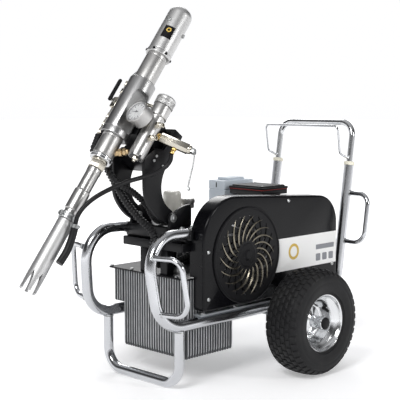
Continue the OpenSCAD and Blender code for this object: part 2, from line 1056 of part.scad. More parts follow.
module shutoff_handle() {
    x = valve_at[0];
    y = valve_at[1];
    color("black")
        on_pump() {
            rod([x - 28, y, 621], [x - 5, y, 621], 4);
            translate([x - 31, y - 7, 612])
                cube([4, 14, 78]);
        }
}

module piston_rod() {
    color("silver")
        on_pump() {
            translate([0, 0, 500])
                cylinder(h = 380, r = 11);
            translate([0, 0, 850])
                cylinder(h = 25, r = 23.95);
            translate([0, 0, 490])
                cylinder(h = 15, r = 17.95);
        }
}

module return_hose() {
    color("black") {
        hose(return_route, 6.5);
        hose(return_tail, 11);
    }
}

module tilt_hoses() {
    color("black") {
        hose(feed_hose_route, 11.5);
        hose(drain_hose_route, 10);
    }
}

side_frame_right();
side_frame_left();
front_foot();
lift_handles();
base_plate();
axle();
axle_brackets();
axle_caps();
oil_tank();
tank_lid();
filler_cap();
filter_head();
return_filter();
motor_body();
fan_cowl();
terminal_box();
terminal_lid();
starter_box();
hydraulic_pump();
drive_belt();
belt_guard();
vent_cover();
chassis_screws();
pivot_beam();
pivot_stand();
pivot_brackets();
pivot_pins();
handle_bushings();
motor_shaft();
drive_pulley();
cooling_fan();
driven_pulley();
handle_tube();
hose_hanger();
tyre_right();
rim_right();
tyre_left();
rim_left();
fork_arm();
pump_block();
hydraulic_cylinder();
cylinder_head();
head_screws();
fluid_cylinder();
foot_valve();
suction_pipe();
suction_foot();
pipe_clamp();
pressure_gauge();
filter_body();
filter_cap();
outlet_fittings();
relief_valve();
shutoff_valve();
return_hose();
tilt_hoses();
gauge_needle();
relief_lever();
shutoff_handle();
piston_rod();
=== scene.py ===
import json
import math

import bmesh
import bpy
import numpy as np
from mathutils import Matrix, Vector


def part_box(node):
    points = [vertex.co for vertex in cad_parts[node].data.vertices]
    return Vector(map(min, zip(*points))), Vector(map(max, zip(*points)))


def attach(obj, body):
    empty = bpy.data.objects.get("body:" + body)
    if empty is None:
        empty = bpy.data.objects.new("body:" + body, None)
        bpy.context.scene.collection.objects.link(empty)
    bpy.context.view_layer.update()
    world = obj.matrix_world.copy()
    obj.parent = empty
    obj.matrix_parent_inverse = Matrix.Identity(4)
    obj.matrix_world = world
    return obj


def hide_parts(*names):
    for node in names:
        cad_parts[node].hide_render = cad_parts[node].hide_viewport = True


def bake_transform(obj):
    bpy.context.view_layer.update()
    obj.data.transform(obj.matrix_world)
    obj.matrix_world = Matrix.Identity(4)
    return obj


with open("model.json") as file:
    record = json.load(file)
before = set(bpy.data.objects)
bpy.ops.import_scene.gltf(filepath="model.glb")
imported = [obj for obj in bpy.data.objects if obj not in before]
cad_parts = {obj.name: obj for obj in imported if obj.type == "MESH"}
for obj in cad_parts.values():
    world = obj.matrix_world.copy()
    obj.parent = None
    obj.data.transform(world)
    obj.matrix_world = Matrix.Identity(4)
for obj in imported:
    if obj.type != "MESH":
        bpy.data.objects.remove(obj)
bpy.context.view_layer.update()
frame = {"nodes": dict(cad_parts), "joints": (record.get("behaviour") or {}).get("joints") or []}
print("frame loaded")


linkUp = bpy.context.scene.collection.objects.link


# Camera, floor and light

shot = {
    "place": (-2.147, -2.180, 0.850),
    "down": 5.89,
    "turn": -45.14,
    "lens": 88.6,
    "sensor": 36.0,
}

studio = {
    "floorSize": 60.0,
    "floorColour": (0.90, 0.90, 0.91, 1),
    "glowNear": 0.34,
    "glowFar": 0.92,
    "view": "Standard",
    "skyStrength": 1.0,
    # the sky's brightness by height above the horizon, as a sine: pale behind the object, dark above it
    "sky": [(-1.0, 0.70), (0.0, 1.0), (0.14, 1.0), (0.24, 0.10), (0.55, 0.05), (0.70, 0.45), (1.0, 0.9)],
    # the sky's strength on the side away from the backdrop, which stands where the camera looks
    "awaySky": 0.62,
    "backdrop": (0.709, 0.705),
    "lamps": [
        {"name": "keyLamp", "place": (-3.0, -1.2, 3.2), "size": 1.4, "power": 95},
        {"name": "sideLamp", "place": (0.9, -3.6, 1.9), "size": 0.8, "power": 34},
        {"name": "backLamp", "place": (2.4, 2.6, 2.8), "size": 2.0, "power": 70},
    ],
}


def makeCamera():
    data = bpy.data.cameras.new("camera")
    data.lens = shot["lens"]
    data.sensor_width = shot["sensor"]
    data.clip_end = 100
    camera = bpy.data.objects.new("camera", data)
    camera.location = shot["place"]
    camera.rotation_euler = (math.radians(90 - shot["down"]), 0, math.radians(shot["turn"]))
    linkUp(camera)
    bpy.context.scene.camera = camera


def makeLamps():
    for lamp in studio["lamps"]:
        data = bpy.data.lights.new(lamp["name"], "AREA")
        data.shape = "SQUARE"
        data.size = lamp["size"]
        data.energy = lamp["power"]
        light = bpy.data.objects.new(lamp["name"], data)
        light.location = lamp["place"]
        aim = Vector((0, 0, 0.45)) - light.location
        light.rotation_euler = aim.to_track_quat("-Z", "Y").to_euler()
        linkUp(light)


def makeSky():
    world = bpy.data.worlds.new("sky")
    bpy.context.scene.world = world
    bpy.context.scene.view_settings.view_transform = studio["view"]
    world.use_nodes = True
    nodes, links = world.node_tree.nodes, world.node_tree.links
    coords = nodes.new("ShaderNodeTexCoord")
    split = nodes.new("ShaderNodeSeparateXYZ")
    links.new(coords.outputs["Generated"], split.inputs[0])
    half = nodes.new("ShaderNodeMath")
    half.operation = "MULTIPLY_ADD"
    half.inputs[1].default_value = 0.5
    half.inputs[2].default_value = 0.5
    links.new(split.outputs["Z"], half.inputs[0])
    ramp = nodes.new("ShaderNodeValToRGB")
    stops = ramp.color_ramp.elements
    while len(stops) < len(studio["sky"]):
        stops.new(0.5)
    for stop, (height, bright) in zip(stops, studio["sky"]):
        stop.position = height / 2 + 0.5
        stop.color = (bright, bright, bright * 1.02, 1)
    links.new(half.outputs[0], ramp.inputs[0])
    away = nodes.new("ShaderNodeVectorMath")
    away.operation = "DOT_PRODUCT"
    away.inputs[1].default_value = (*studio["backdrop"], 0)
    links.new(coords.outputs["Generated"], away.inputs[0])
    fade = nodes.new("ShaderNodeMapRange")
    fade.interpolation_type = "SMOOTHSTEP"
    for key, value in (
        ("From Min", -0.1), ("From Max", 0.75), ("To Min", studio["awaySky"]),
        ("To Max", studio["skyStrength"])
    ):
        fade.inputs[key].default_value = value
    links.new(away.outputs["Value"], fade.inputs["Value"])
    back = nodes["Background"]
    links.new(fade.outputs[0], back.inputs["Strength"])
    links.new(ramp.outputs["Color"], back.inputs["Color"])


def makeFloor(finish):
    half = studio["floorSize"] / 2
    data = bpy.data.meshes.new("floor")
    data.from_pydata(
        [(-half, -half, 0), (half, -half, 0), (half, half, 0), (-half, half, 0)], [], [(0, 1, 2, 3)]
    )
    data.materials.append(finish)
    floor = bpy.data.objects.new("floor", data)
    linkUp(floor)


# Finishes: one small class for shader maths, one for a material

class Value:
    def __init__(self, finish, link):
        self.finish = finish
        self.link = link

    def calc(self, operation, a, b=0.0):
        return self.finish.node("ShaderNodeMath", {"operation": operation}, [a, b])

    def __add__(self, other):
        return self.calc("ADD", self, other)

    def __radd__(self, other):
        return self.calc("ADD", other, self)

    def __mul__(self, other):
        return self.calc("MULTIPLY", self, other)

    def __gt__(self, other):
        return self.calc("GREATER_THAN", self, other)

    def __lt__(self, other):
        return self.calc("LESS_THAN", self, other)


class Finish:
    def __init__(self, name, **fixed):
        self.material = bpy.data.materials.new(name)
        self.material.use_nodes = True
        self.tree = self.material.node_tree
        self.shader = self.tree.nodes["Principled BSDF"]
        for key, value in fixed.items():
            self.shader.inputs[key.replace("_", " ")].default_value = value
        self.place = self.node("ShaderNodeTexCoord", output="Object")

    def node(self, kind, settings=None, values=(), output=0):
        made = self.tree.nodes.new(kind)
        for key, value in (settings or {}).items():
            if key == "stops":
                ramp = made.color_ramp.elements
                while len(ramp) < len(value):
                    ramp.new(0.5)
                for stop, (position, colour) in zip(ramp, value):
                    stop.position, stop.color = position, colour
            else:
                setattr(made, key, value)
        for key, value in (values.items() if isinstance(values, dict) else enumerate(values)):
            self.feed(made.inputs[key], value)
        return Value(self, made.outputs[output])

    def feed(self, socket, value):
        if isinstance(value, Value):
            self.tree.links.new(value.link, socket)
        else:
            socket.default_value = value

    def noise(self, scale, detail=3.0, rough=0.55, place=None):
        values = {"Vector": place or self.place, "Scale": scale, "Detail": detail, "Roughness": rough}
        return self.node("ShaderNodeTexNoise", None, values)

    def mix(self, factor, a, b):
        return self.node("ShaderNodeMix", {"data_type": "RGBA"}, {0: factor, 6: a, 7: b}, 2)

    def ramp(self, value, low, high):
        stops = [(low, (0, 0, 0, 1)), (high, (1, 1, 1, 1))]
        return self.node("ShaderNodeValToRGB", {"stops": stops}, [value])

    def axis(self, name):
        return self.node("ShaderNodeSeparateXYZ", None, [self.place], "XYZ".index(name))

    def bump(self, height, strength, depth):
        values = {"Height": height, "Strength": strength, "Distance": depth}
        self.set("Normal", self.node("ShaderNodeBump", None, values))

    def calcMin(self, a, b):
        return self.node("ShaderNodeMath", {"operation": "MINIMUM"}, [a, b])

    def set(self, key, value):
        self.feed(self.shader.inputs[key], value)


def rgb(r, g, b):
    return (r, g, b, 1)


# Bare metal: broad patches, fine scratches and a little grime
def metalFinish(name, colour, roughness, dirt=0.12, scratch=0.35, stretch=(1, 1, 1), dull=0.5):
    f = Finish(name, Metallic=1.0)
    placed = f.node("ShaderNodeMapping", None, {"Vector": f.place, "Scale": stretch})
    patches = f.ramp(f.noise(7, 4), 0.35, 0.7)
    scratches = f.ramp(f.noise(420, 2, 0.6, placed), 0.42, 0.72)
    dark = tuple(c * dull for c in colour[:3]) + (1,)
    f.set("Base Color", f.mix(patches * dirt + scratches * 0.08, colour, dark))
    f.set("Roughness", roughness + patches * 0.10 + scratches * 0.08)
    f.bump(scratches, scratch, 0.00004)
    return f.material


# Paint or powder coat: orange peel, dust and small chips
def paintFinish(
    name, colour, roughness, peel=0.25, dust=0.15, dustColour=rgb(0.35, 0.34, 0.32), coat=0.2, gloss=0.5
):
    f = Finish(name, Metallic=0.0, Coat_Weight=coat, Coat_Roughness=0.12, Specular_IOR_Level=gloss)
    patches = f.ramp(f.noise(5.5, 4), 0.40, 0.75)
    peelNoise = f.noise(260, 2)
    specks = f.ramp(f.noise(900, 1), 0.66, 0.72)
    f.set("Base Color", f.mix(patches * dust + specks * 0.25, colour, dustColour))
    f.set("Roughness", roughness + patches * 0.16)
    f.bump(peelNoise, peel, 0.00012)
    return f.material


def plasticFinish(name, colour, roughness, grain=0.3, grainScale=700, dust=0.12, gloss=0.5):
    f = Finish(name, Metallic=0.0, Specular_IOR_Level=gloss)
    patches = f.ramp(f.noise(9, 3), 0.4, 0.8)
    fine = f.noise(grainScale, 2)
    lighter = tuple(min(1, c * 1.25 + 0.02) for c in colour[:3]) + (1,)
    f.set("Base Color", f.mix(patches * dust + fine * 0.1, colour, lighter))
    f.set("Roughness", roughness + fine * 0.15 + patches * 0.08)
    f.bump(fine, grain, 0.00008)
    return f.material


def rubberFinish(name, colour, roughness, dust=0.25):
    f = Finish(name, Metallic=0.0, Specular_IOR_Level=0.24)
    patches = f.ramp(f.noise(12, 5), 0.42, 0.8)
    fine = f.noise(520, 3)
    f.set("Base Color", f.mix(patches * dust, colour, rgb(0.05, 0.049, 0.046)))
    f.set("Roughness", roughness + fine * 0.2)
    f.bump(fine, 0.35, 0.00015)
    return f.material


# Cast fins: dark paint, worn pale along the outer edges of the fins
def tankFinish(sides):
    f = Finish("tankPaint", Metallic=0.1)
    x, y = f.axis("X"), f.axis("Y")
    edge = (x < sides["front"] + 0.0012) + (x > sides["back"] - 0.0012)
    edge = edge + (y < sides["right"] + 0.0012) + (y > sides["left"] - 0.0012)
    worn = f.ramp(f.noise(38, 3), 0.3, 0.62)
    rub = f.calcMin(edge, 1.0) * (worn * 0.35 + 0.6)
    patches = f.ramp(f.noise(16, 3), 0.4, 0.8)
    base = f.mix(patches * 0.3, rgb(0.10, 0.104, 0.11), rgb(0.16, 0.165, 0.17))
    f.set("Base Color", f.mix(rub, base, rgb(0.50, 0.51, 0.52)))
    f.set("Roughness", 0.42 + worn * 0.16)
    f.set("Metallic", rub * 0.5)
    f.bump(f.noise(300, 3), 0.4, 0.0002)
    return f.material


# The floor glows more with distance, so that it ends as pale as the sky
def floorFinish():
    f = Finish("floorPaint")
    cloudy = f.noise(2.5, 3)
    x, y = f.axis("X"), f.axis("Y")
    far = f.ramp((x * x + y * y) * 0.06, 0.06, 0.7)
    f.set("Emission Color", f.mix(far, rgb(*[studio["glowNear"]] * 3), rgb(*[studio["glowFar"]] * 3)))
    f.set("Emission Strength", 1.0)
    f.set("Base Color", f.mix(cloudy * 0.2, studio["floorColour"], rgb(0.8, 0.8, 0.81)))
    f.set("Roughness", 0.75 + cloudy * 0.1)
    return f.material


# Mesh helpers

def addPiece(name, data, body, finish, slot, replaces=(), sharp=35):
    data.materials.clear()
    data.materials.append(finish)
    data.polygons.foreach_set("use_smooth", [True] * len(data.polygons))
    data.set_sharp_from_angle(angle=math.radians(sharp))
    piece = bpy.data.objects.new(name, data)
    linkUp(piece)
    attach(piece, body)
    if replaces:
        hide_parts(*replaces)
    return piece


def closeMesh(name, build):
    build.normal_update()
    bmesh.ops.remove_doubles(build, verts=build.verts, dist=1e-6)
    bmesh.ops.recalc_face_normals(build, faces=build.faces)
    data = bpy.data.meshes.new(name)
    build.to_mesh(data)
    build.free()
    return data


def keepPiece(name, build, *rest, **more):
    return addPiece(name, closeMesh(name, build), *rest, **more)


# Points of an arc, its angles in degrees
def arcPoints(centre, radius, start, end, steps=10):
    spots = [math.radians(start + (end - start) * i / steps) for i in range(steps + 1)]
    return [(centre[0] + radius * math.cos(a), centre[1] + radius * math.sin(a)) for a in spots]


def mm(points):
    return [tuple(c / 1000 for c in p) for p in points]


def spun(degrees, axis):
    return Matrix.Rotation(math.radians(degrees), 4, axis)


# Joins rings of corners with faces, and closes the two ends
def joinRings(build, rings, capped=True):
    for a, b in zip(rings, rings[1:]):
        for i in range(len(a)):
            j = (i + 1) % len(a)
            build.faces.new([a[i], a[j], b[j], b[i]])
    if capped:
        build.faces.new(rings[0][::-1])
        build.faces.new(rings[-1])


# A frame of axes whose Z is the given direction
def turned(place, direction, side=Vector((0, 1, 0))):
    z = Vector(direction).normalized()
    side = Vector(side)
    if abs(z.dot(side.normalized())) > 0.99:
        side = Vector((1, 0, 0))
    x = side.cross(z).normalized()
    return Matrix.Translation(place) @ Matrix((x, z.cross(x), z)).transposed().to_4x4()


# Turns an outline of (radius, height) round the Z axis of a place
def addLathe(build, outline, place, sides=48, closed=False):
    rings = []
    for radius, height in outline:
        if radius < 1e-7:
            rings.append([build.verts.new(place @ Vector((0, 0, height)))])
            continue
        ring = []
        for i in range(sides):
            a = 2 * math.pi * i / sides
            ring.append(build.verts.new(place @ Vector((radius * math.cos(a), radius * math.sin(a), height))))
        rings.append(ring)
    pairs = list(zip(rings, rings[1:]))
    if closed:
        pairs.append((rings[-1], rings[0]))
    for a, b in pairs:
        for i in range(sides):
            j = (i + 1) % sides
            corners = [a[i % len(a)], a[j % len(a)], b[j % len(b)], b[i % len(b)]]
            unique = list(dict.fromkeys(corners))
            if len(unique) > 2:
                build.faces.new(unique)


def lathe(name, outline, place, body, finish, slot, replaces=(), sides=48, closed=False, sharp=35):
    build = bmesh.new()
    addLathe(build, outline, place, sides, closed)
    keepPiece(name, build, body, finish, slot, replaces, sharp)


# Round corners for a lathe outline: each inner corner becomes a short curve
def eased(outline, radius, steps=3):
    out = [outline[0]]
    for before, corner, after in zip(outline, outline[1:], outline[2:]):
        p, c, q = Vector(before), Vector(corner), Vector(after)
        cut = min(radius, (p - c).length * 0.45, (q - c).length * 0.45)
        a, b = c + (p - c).normalized() * cut, c + (q - c).normalized() * cut
        for i in range(steps + 1):
            t = i / steps
            out.append(tuple(a * (1 - t) ** 2 + c * 2 * t * (1 - t) + b * t * t))
    out.append(outline[-1])
    return out


# Adds a lathe shape whose outline is in millimetres, its corners eased
def addTurned(build, outline, ease, *rest):
    addLathe(build, eased(mm(outline), ease), *rest)


def roundRect(x0, z0, x1, z1, r, steps=5):
    points = []
    for cx, cz, start in (
        (x1 - r, z1 - r, 0), (x0 + r, z1 - r, 90), (x0 + r, z0 + r, 180), (x1 - r, z0 + r, 270)
    ):
        points += arcPoints((cx, cz), r, start, start + 90, steps)
    return points


# Puts a finished part into a build at a place
def joinPart(build, part, place):
    scratch = bpy.data.meshes.new("scratch")
    part.to_mesh(scratch)
    part.free()
    scratch.transform(place)
    build.from_mesh(scratch)
    bpy.data.meshes.remove(scratch)


# A prism: a flat outline in the place's X and Y, raised along its Z, with softened edges
def addPrism(build, outline, place, low, high, bevel=0.0, segments=2):
    part = bmesh.new()
    bottom = [part.verts.new((x, y, low)) for x, y in outline]
    top = [part.verts.new((x, y, high)) for x, y in outline]
    count = len(outline)
    part.faces.new(bottom[::-1])
    part.faces.new(top)
    for i in range(count):
        j = (i + 1) % count
        part.faces.new([bottom[i], bottom[j], top[j], top[i]])
    bmesh.ops.recalc_face_normals(part, faces=part.faces)
    if bevel:
        edges = [e for e in part.edges if e.calc_face_angle(0) > math.radians(32)]
        bmesh.ops.bevel(
            part, geom=edges, offset=bevel, segments=segments, profile=0.5, affect="EDGES", clamp_overlap=True
        )
    joinPart(build, part, place)


# X and Z drawn as seen from the guard's side, raised towards -Y
def sidePlace(y=0.0):
    return Matrix(((1, 0, 0, 0), (0, 0, -1, y), (0, 1, 0, 0), (0, 0, 0, 1)))


upright = Matrix.Identity(4)


def rect(x0, y0, x1, y1):
    return [(x0, y0), (x1, y0), (x1, y1), (x0, y1)]


# An upright slab with round corners between two corners of a box, set in by a margin
def addSlab(build, low, high, corner, bottom, top, bevel=0.0, segments=2, margin=0.0):
    outline = roundRect(low.x + margin, low.y + margin, high.x - margin, high.y - margin, corner)
    addPrism(build, outline, upright, bottom, top, bevel, segments)


# A smooth line through given points, at even steps
def smoothLine(points, step):
    p = [Vector(v) for v in points]
    p = [p[0] * 2 - p[1]] + p + [p[-1] * 2 - p[-2]]
    dense = []
    for a, b, c, d in zip(p, p[1:], p[2:], p[3:]):
        for i in range(12):
            t = i / 12
            second, third = 2 * a - 5 * b + 4 * c - d, 3 * b - a - 3 * c + d
            dense.append(0.5 * (2 * b + (c - a) * t + second * t * t + third * t ** 3))
    dense.append(p[-2])
    return evenSteps(dense, step)


def evenSteps(dense, step):
    lengths = [0.0]
    for a, b in zip(dense, dense[1:]):
        lengths.append(lengths[-1] + (b - a).length)
    count = max(2, round(lengths[-1] / step))
    out, k = [], 0
    for i in range(count + 1):
        s = lengths[-1] * i / count
        while k < len(lengths) - 2 and lengths[k + 1] < s:
            k += 1
        t = (s - lengths[k]) / max(1e-9, lengths[k + 1] - lengths[k])
        out.append(dense[k].lerp(dense[k + 1], t))
    return out


# Straight stretches joined by round bends, as a pipe bender makes them
def bentLine(corners, bend, step=0.006):
    p = [Vector(v) for v in corners]
    dense = [p[0]]
    for a, b, c in zip(p, p[1:], p[2:]):
        u, v = (b - a).normalized(), (c - b).normalized()
        angle = u.angle(v)
        cut = bend * math.tan(angle / 2)
        w = (v - u * u.dot(v)).normalized()
        centre = b - u * cut + w * bend
        steps = max(3, round(bend * angle / step))
        for i in range(steps + 1):
            t = angle * i / steps
            dense.append(centre + (-w * math.cos(t) + u * math.sin(t)) * bend)
    dense.append(p[-1])
    return dense


# Sweeps a circle along a line; size(s, a) may change the radius along and around it
def addTube(build, line, radius, sides=24, size=None):
    rings = []
    travelled = 0.0
    side = None
    for i, point in enumerate(line):
        along = (line[min(i + 1, len(line) - 1)] - line[max(i - 1, 0)]).normalized()
        if side is None:
            side = along.orthogonal().normalized()
        side = (side - along * side.dot(along)).normalized()
        other = along.cross(side)
        if i:
            travelled += (point - line[i - 1]).length
        ring = []
        for k in range(sides):
            a = 2 * math.pi * k / sides
            r = size(travelled, a) if size else radius
            ring.append(build.verts.new(point + side * (r * math.cos(a)) + other * (r * math.sin(a))))
        rings.append(ring)
    joinRings(build, rings)


def tube(name, line, radius, body, finish, slot, replaces=(), sides=32):
    build = bmesh.new()
    addTube(build, line, radius, sides)
    keepPiece(name, build, body, finish, slot, replaces, 50)


# Geometry Nodes: repeats one piece count times, each turned and shifted a step further about a centre
def repeatTree():
    tree = bpy.data.node_groups.new("repeatSteps", "GeometryNodeTree")
    face = tree.interface
    for name, kind in (
        ("Part", "Geometry"), ("Count", "Int"), ("Centre", "Vector"), ("Turn", "Vector"), ("Shift", "Vector"),
        ("Finish", "Material"),
    ):
        face.new_socket(name, in_out="INPUT", socket_type="NodeSocket" + kind)
    face.new_socket("Parts", in_out="OUTPUT", socket_type="NodeSocketGeometry")
    nodes, links = tree.nodes, tree.links

    def made(kind, links_in=(), **settings):
        node = nodes.new(kind)
        for key, value in settings.items():
            setattr(node, key, value)
        for key, value in links_in:
            links.new(value, node.inputs[key])
        return node

    into, out = made("NodeGroupInput"), made("NodeGroupOutput")
    index = made("GeometryNodeInputIndex")
    turn = made("ShaderNodeVectorMath", [(0, into.outputs["Turn"]), (3, index.outputs[0])], operation="SCALE")
    shift = made(
        "ShaderNodeVectorMath", [(0, into.outputs["Shift"]), (3, index.outputs[0])], operation="SCALE"
    )
    place = made(
        "ShaderNodeVectorMath", [(0, into.outputs["Centre"]), (1, shift.outputs[0])], operation="ADD"
    )
    points = made("GeometryNodePoints", [("Count", into.outputs["Count"]), ("Position", place.outputs[0])])
    back = made("ShaderNodeVectorMath", [(0, into.outputs["Centre"])], operation="SCALE")
    back.inputs[3].default_value = -1
    moved = made(
        "GeometryNodeTransform", [("Geometry", into.outputs["Part"]), ("Translation", back.outputs[0])]
    )
    put = made(
        "GeometryNodeInstanceOnPoints",
        [("Points", points.outputs[0]), ("Instance", moved.outputs[0]), ("Rotation", turn.outputs[0])],
    )
    real = made("GeometryNodeRealizeInstances", [(0, put.outputs[0])])
    last = made(
        "GeometryNodeSetMaterial", [("Geometry", real.outputs[0]), ("Material", into.outputs["Finish"])]
    )
    links.new(last.outputs[0], out.inputs[0])
    return tree


stepTree = repeatTree()


def repeated(
    name, build, count, body, finish, slot, centre=(0, 0, 0), turn=(0, 0, 0), shift=(0, 0, 0), sharp=35
):
    data = closeMesh(name + "One", build)
    one = bpy.data.objects.new(name + "One", data)
    linkUp(one)
    steps = one.modifiers.new("steps", "NODES")
    steps.node_group = stepTree
    values = {"Count": count, "Centre": centre, "Turn": turn, "Shift": shift, "Finish": finish}
    for item in stepTree.interface.items_tree:
        if item.item_type == "SOCKET" and item.in_out == "INPUT" and item.name in values:
            steps[item.identifier] = values[item.name]
    view = bpy.context.evaluated_depsgraph_get()
    plain = bpy.data.meshes.new_from_object(one.evaluated_get(view))
    plain.name = name
    one.modifiers.remove(steps)
    bpy.data.objects.remove(one)
    bpy.data.meshes.remove(data)
    return addPiece(name, plain, body, finish, slot, (), sharp)


# Repeats a part about the Z axis, then moves the whole ring to its place
def repeatRound(name, build, count, body, finish, slot, place, step=None):
    turn = (0, 0, step or 2 * math.pi / count)
    piece = repeated(name, build, count, body, finish, slot, turn=turn)
    piece.data.transform(place)


# Finishes

zinc = metalFinish("zincTube", rgb(0.60, 0.61, 0.63), 0.11, 0.12, 0.06)
zincPart = metalFinish("zincPart", rgb(0.48, 0.49, 0.49), 0.28, 0.2, 0.3)
chrome = metalFinish("polishedSteel", rgb(0.64, 0.65, 0.66), 0.09, 0.06, 0.04)
alloy = metalFinish("footAlloy", rgb(0.62, 0.62, 0.62), 0.44, 0.08, 0.1)
softSteel = metalFinish("turnedSteel", rgb(0.54, 0.535, 0.525), 0.28, 0.08, 0.08)
satin = metalFinish("satinSteel", rgb(0.50, 0.495, 0.485), 0.33, 0.1, 0.1, (1, 1, 0.05))
brass = metalFinish("brassPart", rgb(0.56, 0.42, 0.24), 0.24, 0.2, 0.3)
iron = metalFinish("pulleyIron", rgb(0.28, 0.28, 0.29), 0.42, 0.3, 0.5)
blackPaint = paintFinish(
    "blackPaint", rgb(0.004, 0.004, 0.005), 0.28, 0.25, 0.05, rgb(0.04, 0.04, 0.04), 0.08, 0.18
)
greyPaint = paintFinish("greyPaint", rgb(0.26, 0.28, 0.30), 0.38, 0.3, 0.15)
motorPaint = paintFinish(
    "motorPaint", rgb(0.006, 0.006, 0.007), 0.34, 0.4, 0.06, rgb(0.05, 0.05, 0.05), 0.08, 0.2
)
whitePaint = paintFinish("whitePaint", rgb(0.93, 0.91, 0.83), 0.22, 0.15, 0.08, rgb(0.6, 0.6, 0.57), 0.5)
blackPlastic = plasticFinish("blackPlastic", rgb(0.005, 0.005, 0.006), 0.40, 0.3, 700, 0.08, 0.18)
greyPlastic = plasticFinish("greyPlastic", rgb(0.60, 0.66, 0.72), 0.34, 0.2, 600, 0.1)
creamPlastic = plasticFinish("creamPlastic", rgb(0.83, 0.79, 0.66), 0.33, 0.15, 500, 0.15)
tyreRubber = rubberFinish("tyreRubber", rgb(0.010, 0.010, 0.011), 0.50)
hoseRubber = rubberFinish("hoseRubber", rgb(0.009, 0.009, 0.010), 0.34, 0.10)
redRubber = rubberFinish("redGasket", rgb(0.30, 0.03, 0.025), 0.5, 0.1)
dialWhite = plasticFinish("dialWhite", rgb(0.62, 0.62, 0.61), 0.4, 0.05)
labelWhite = plasticFinish("plainPlate", rgb(0.86, 0.86, 0.85), 0.35, 0.05)
labelGrey = plasticFinish("plainBand", rgb(0.22, 0.23, 0.25), 0.4, 0.05)

tankLow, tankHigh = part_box("oil_tank")
tankPaint = tankFinish({"front": tankLow.x, "back": tankHigh.x, "right": tankLow.y, "left": tankHigh.y})

nodeFinish = {
    zinc: ["side_frame_right", "side_frame_left", "front_foot", "lift_handles", "hose_hanger"],
    chrome: [
        "handle_tube", "pump_block", "fluid_cylinder", "pressure_gauge", "piston_rod", "rim_right",
        "rim_left",
    ],
    alloy: ["suction_foot"],
    softSteel: ["suction_pipe", "filter_body"],
    satin: ["filler_cap", "hydraulic_cylinder", "cylinder_head", "foot_valve", "filter_cap", "motor_shaft"],
    zincPart: [
        "axle", "chassis_screws", "pivot_pins", "head_screws", "pipe_clamp", "outlet_fittings",
        "relief_valve", "relief_lever", "shutoff_valve",
    ],
    iron: ["hydraulic_pump", "drive_pulley", "driven_pulley"],
    blackPaint: [
        "tank_lid", "filter_head", "belt_guard", "pivot_beam", "pivot_brackets", "fork_arm", "pivot_stand"
    ],
    greyPaint: ["base_plate", "axle_brackets"],
    motorPaint: ["motor_body", "fan_cowl"],
    whitePaint: ["return_filter"],
    tankPaint: ["oil_tank"],
    blackPlastic: [
        "axle_caps", "terminal_box", "terminal_lid", "vent_cover", "cooling_fan", "shutoff_handle",
        "gauge_needle"
    ],
    greyPlastic: ["starter_box"],
    creamPlastic: ["handle_bushings"],
    tyreRubber: ["tyre_right", "tyre_left"],
    hoseRubber: ["drive_belt", "return_hose", "tilt_hoses"],
}
for finish, names in nodeFinish.items():
    for name in names:
        node = frame["nodes"][name]
        for place in node.material_slots:
            place.material = finish
        if not node.material_slots:
            node.data.materials.append(finish)
print("finishes set")


# Wheels: carcass with ribbed side walls, and seven staggered rows of tread blocks

tyre = {
    "crown": 0.1612,
    "blockHeight": 0.0036,
    "blocksRound": 40,
    "blockGap": 0.24,
    "skew": 0.6,
    "rows": 7,
    "halfWidth": 0.0575,
    "rowGap": 0.0032,
}

tyreOutline = [
    (0.084, -0.040), (0.0865, -0.049), (0.091, -0.0535), (0.094, -0.0535), (0.096, -0.0575), (0.102, -0.0585),
    (0.112, -0.0610), (0.124, -0.0620), (0.126, -0.0612), (0.129, -0.0612), (0.131, -0.0615),
    (0.140, -0.0598), (0.148, -0.0560), (0.1535, -0.0500), (0.1572, -0.0420), (0.1594, -0.0300),
    (0.1608, -0.0150),
]


def carcassRadius(height):
    side = [(-h, r) for r, h in tyreOutline[12:]] + [(0.0, tyre["crown"])]
    side.sort()
    return float(np.interp(abs(height), [h for h, r in side], [r for h, r in side]))


def addBlock(build, centre, low, high, lean, step):
    rings = []
    middle = (low + high) / 2
    for k in range(5):
        height = low + (high - low) * k / 4
        half = step * (1 - tyre["blockGap"]) / 2
        at = math.radians(lean) * (height - middle) / (high - low)
        ease = 0.0015 if k in (0, 4) else 0
        r = carcassRadius(height)
        corners = [(r - 0.002, at - half), (r + tyre["blockHeight"] - ease, at - half * 0.86)]
        corners += [(r + tyre["blockHeight"] - ease, at + half * 0.86), (r - 0.002, at + half)]
        ring = []
        for radius, a in corners:
            spot = centre + Vector((radius * math.cos(a), height, radius * math.sin(a)))
            ring.append(build.verts.new(spot))
        rings.append(ring)
    joinRings(build, rings)


def makeTyre(node, body):
    low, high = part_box(node)
    centre = (low + high) / 2
    place = turned(centre, (0, 1, 0))
    outline = tyreOutline + [(tyre["crown"], 0.0)] + [(r, -h) for r, h in reversed(tyreOutline)]
    inner = [(0.100, 0.030), (0.140, 0.045), (0.150, 0.0), (0.140, -0.045), (0.100, -0.030)]
    lathe(node + "_carcass", outline + inner, place, body, tyreRubber, "tyre_rubber", [node], 120, True, 40)
    step = 2 * math.pi / tyre["blocksRound"]
    pitch = (2 * tyre["halfWidth"] + tyre["rowGap"]) / tyre["rows"]
    for i in range(tyre["rows"]):
        low = pitch * i - tyre["halfWidth"]
        high = low + pitch - tyre["rowGap"]
        build = bmesh.new()
        addBlock(build, centre, low, high, tyre["skew"] * (1 if i % 2 else -1), step)
        spin = Matrix.Rotation(step / 2 * (i % 2), 4, "Y")
        build.transform(Matrix.Translation(centre) @ spin @ Matrix.Translation(-centre))
        name = "{}_blocks_{}".format(node, i)
        repeated(name, build, tyre["blocksRound"], body, tyreRubber, "tyre_rubber", centre, (0, step, 0))


makeTyre("tyre_right", "wheel_right")
makeTyre("tyre_left", "wheel_left")
print("tyres made")


# Rims: two flanges, a dished disc, the hub tube with its bearing seals, and an air valve

rim = {"bore": 0.00905, "valveTurn": 128}


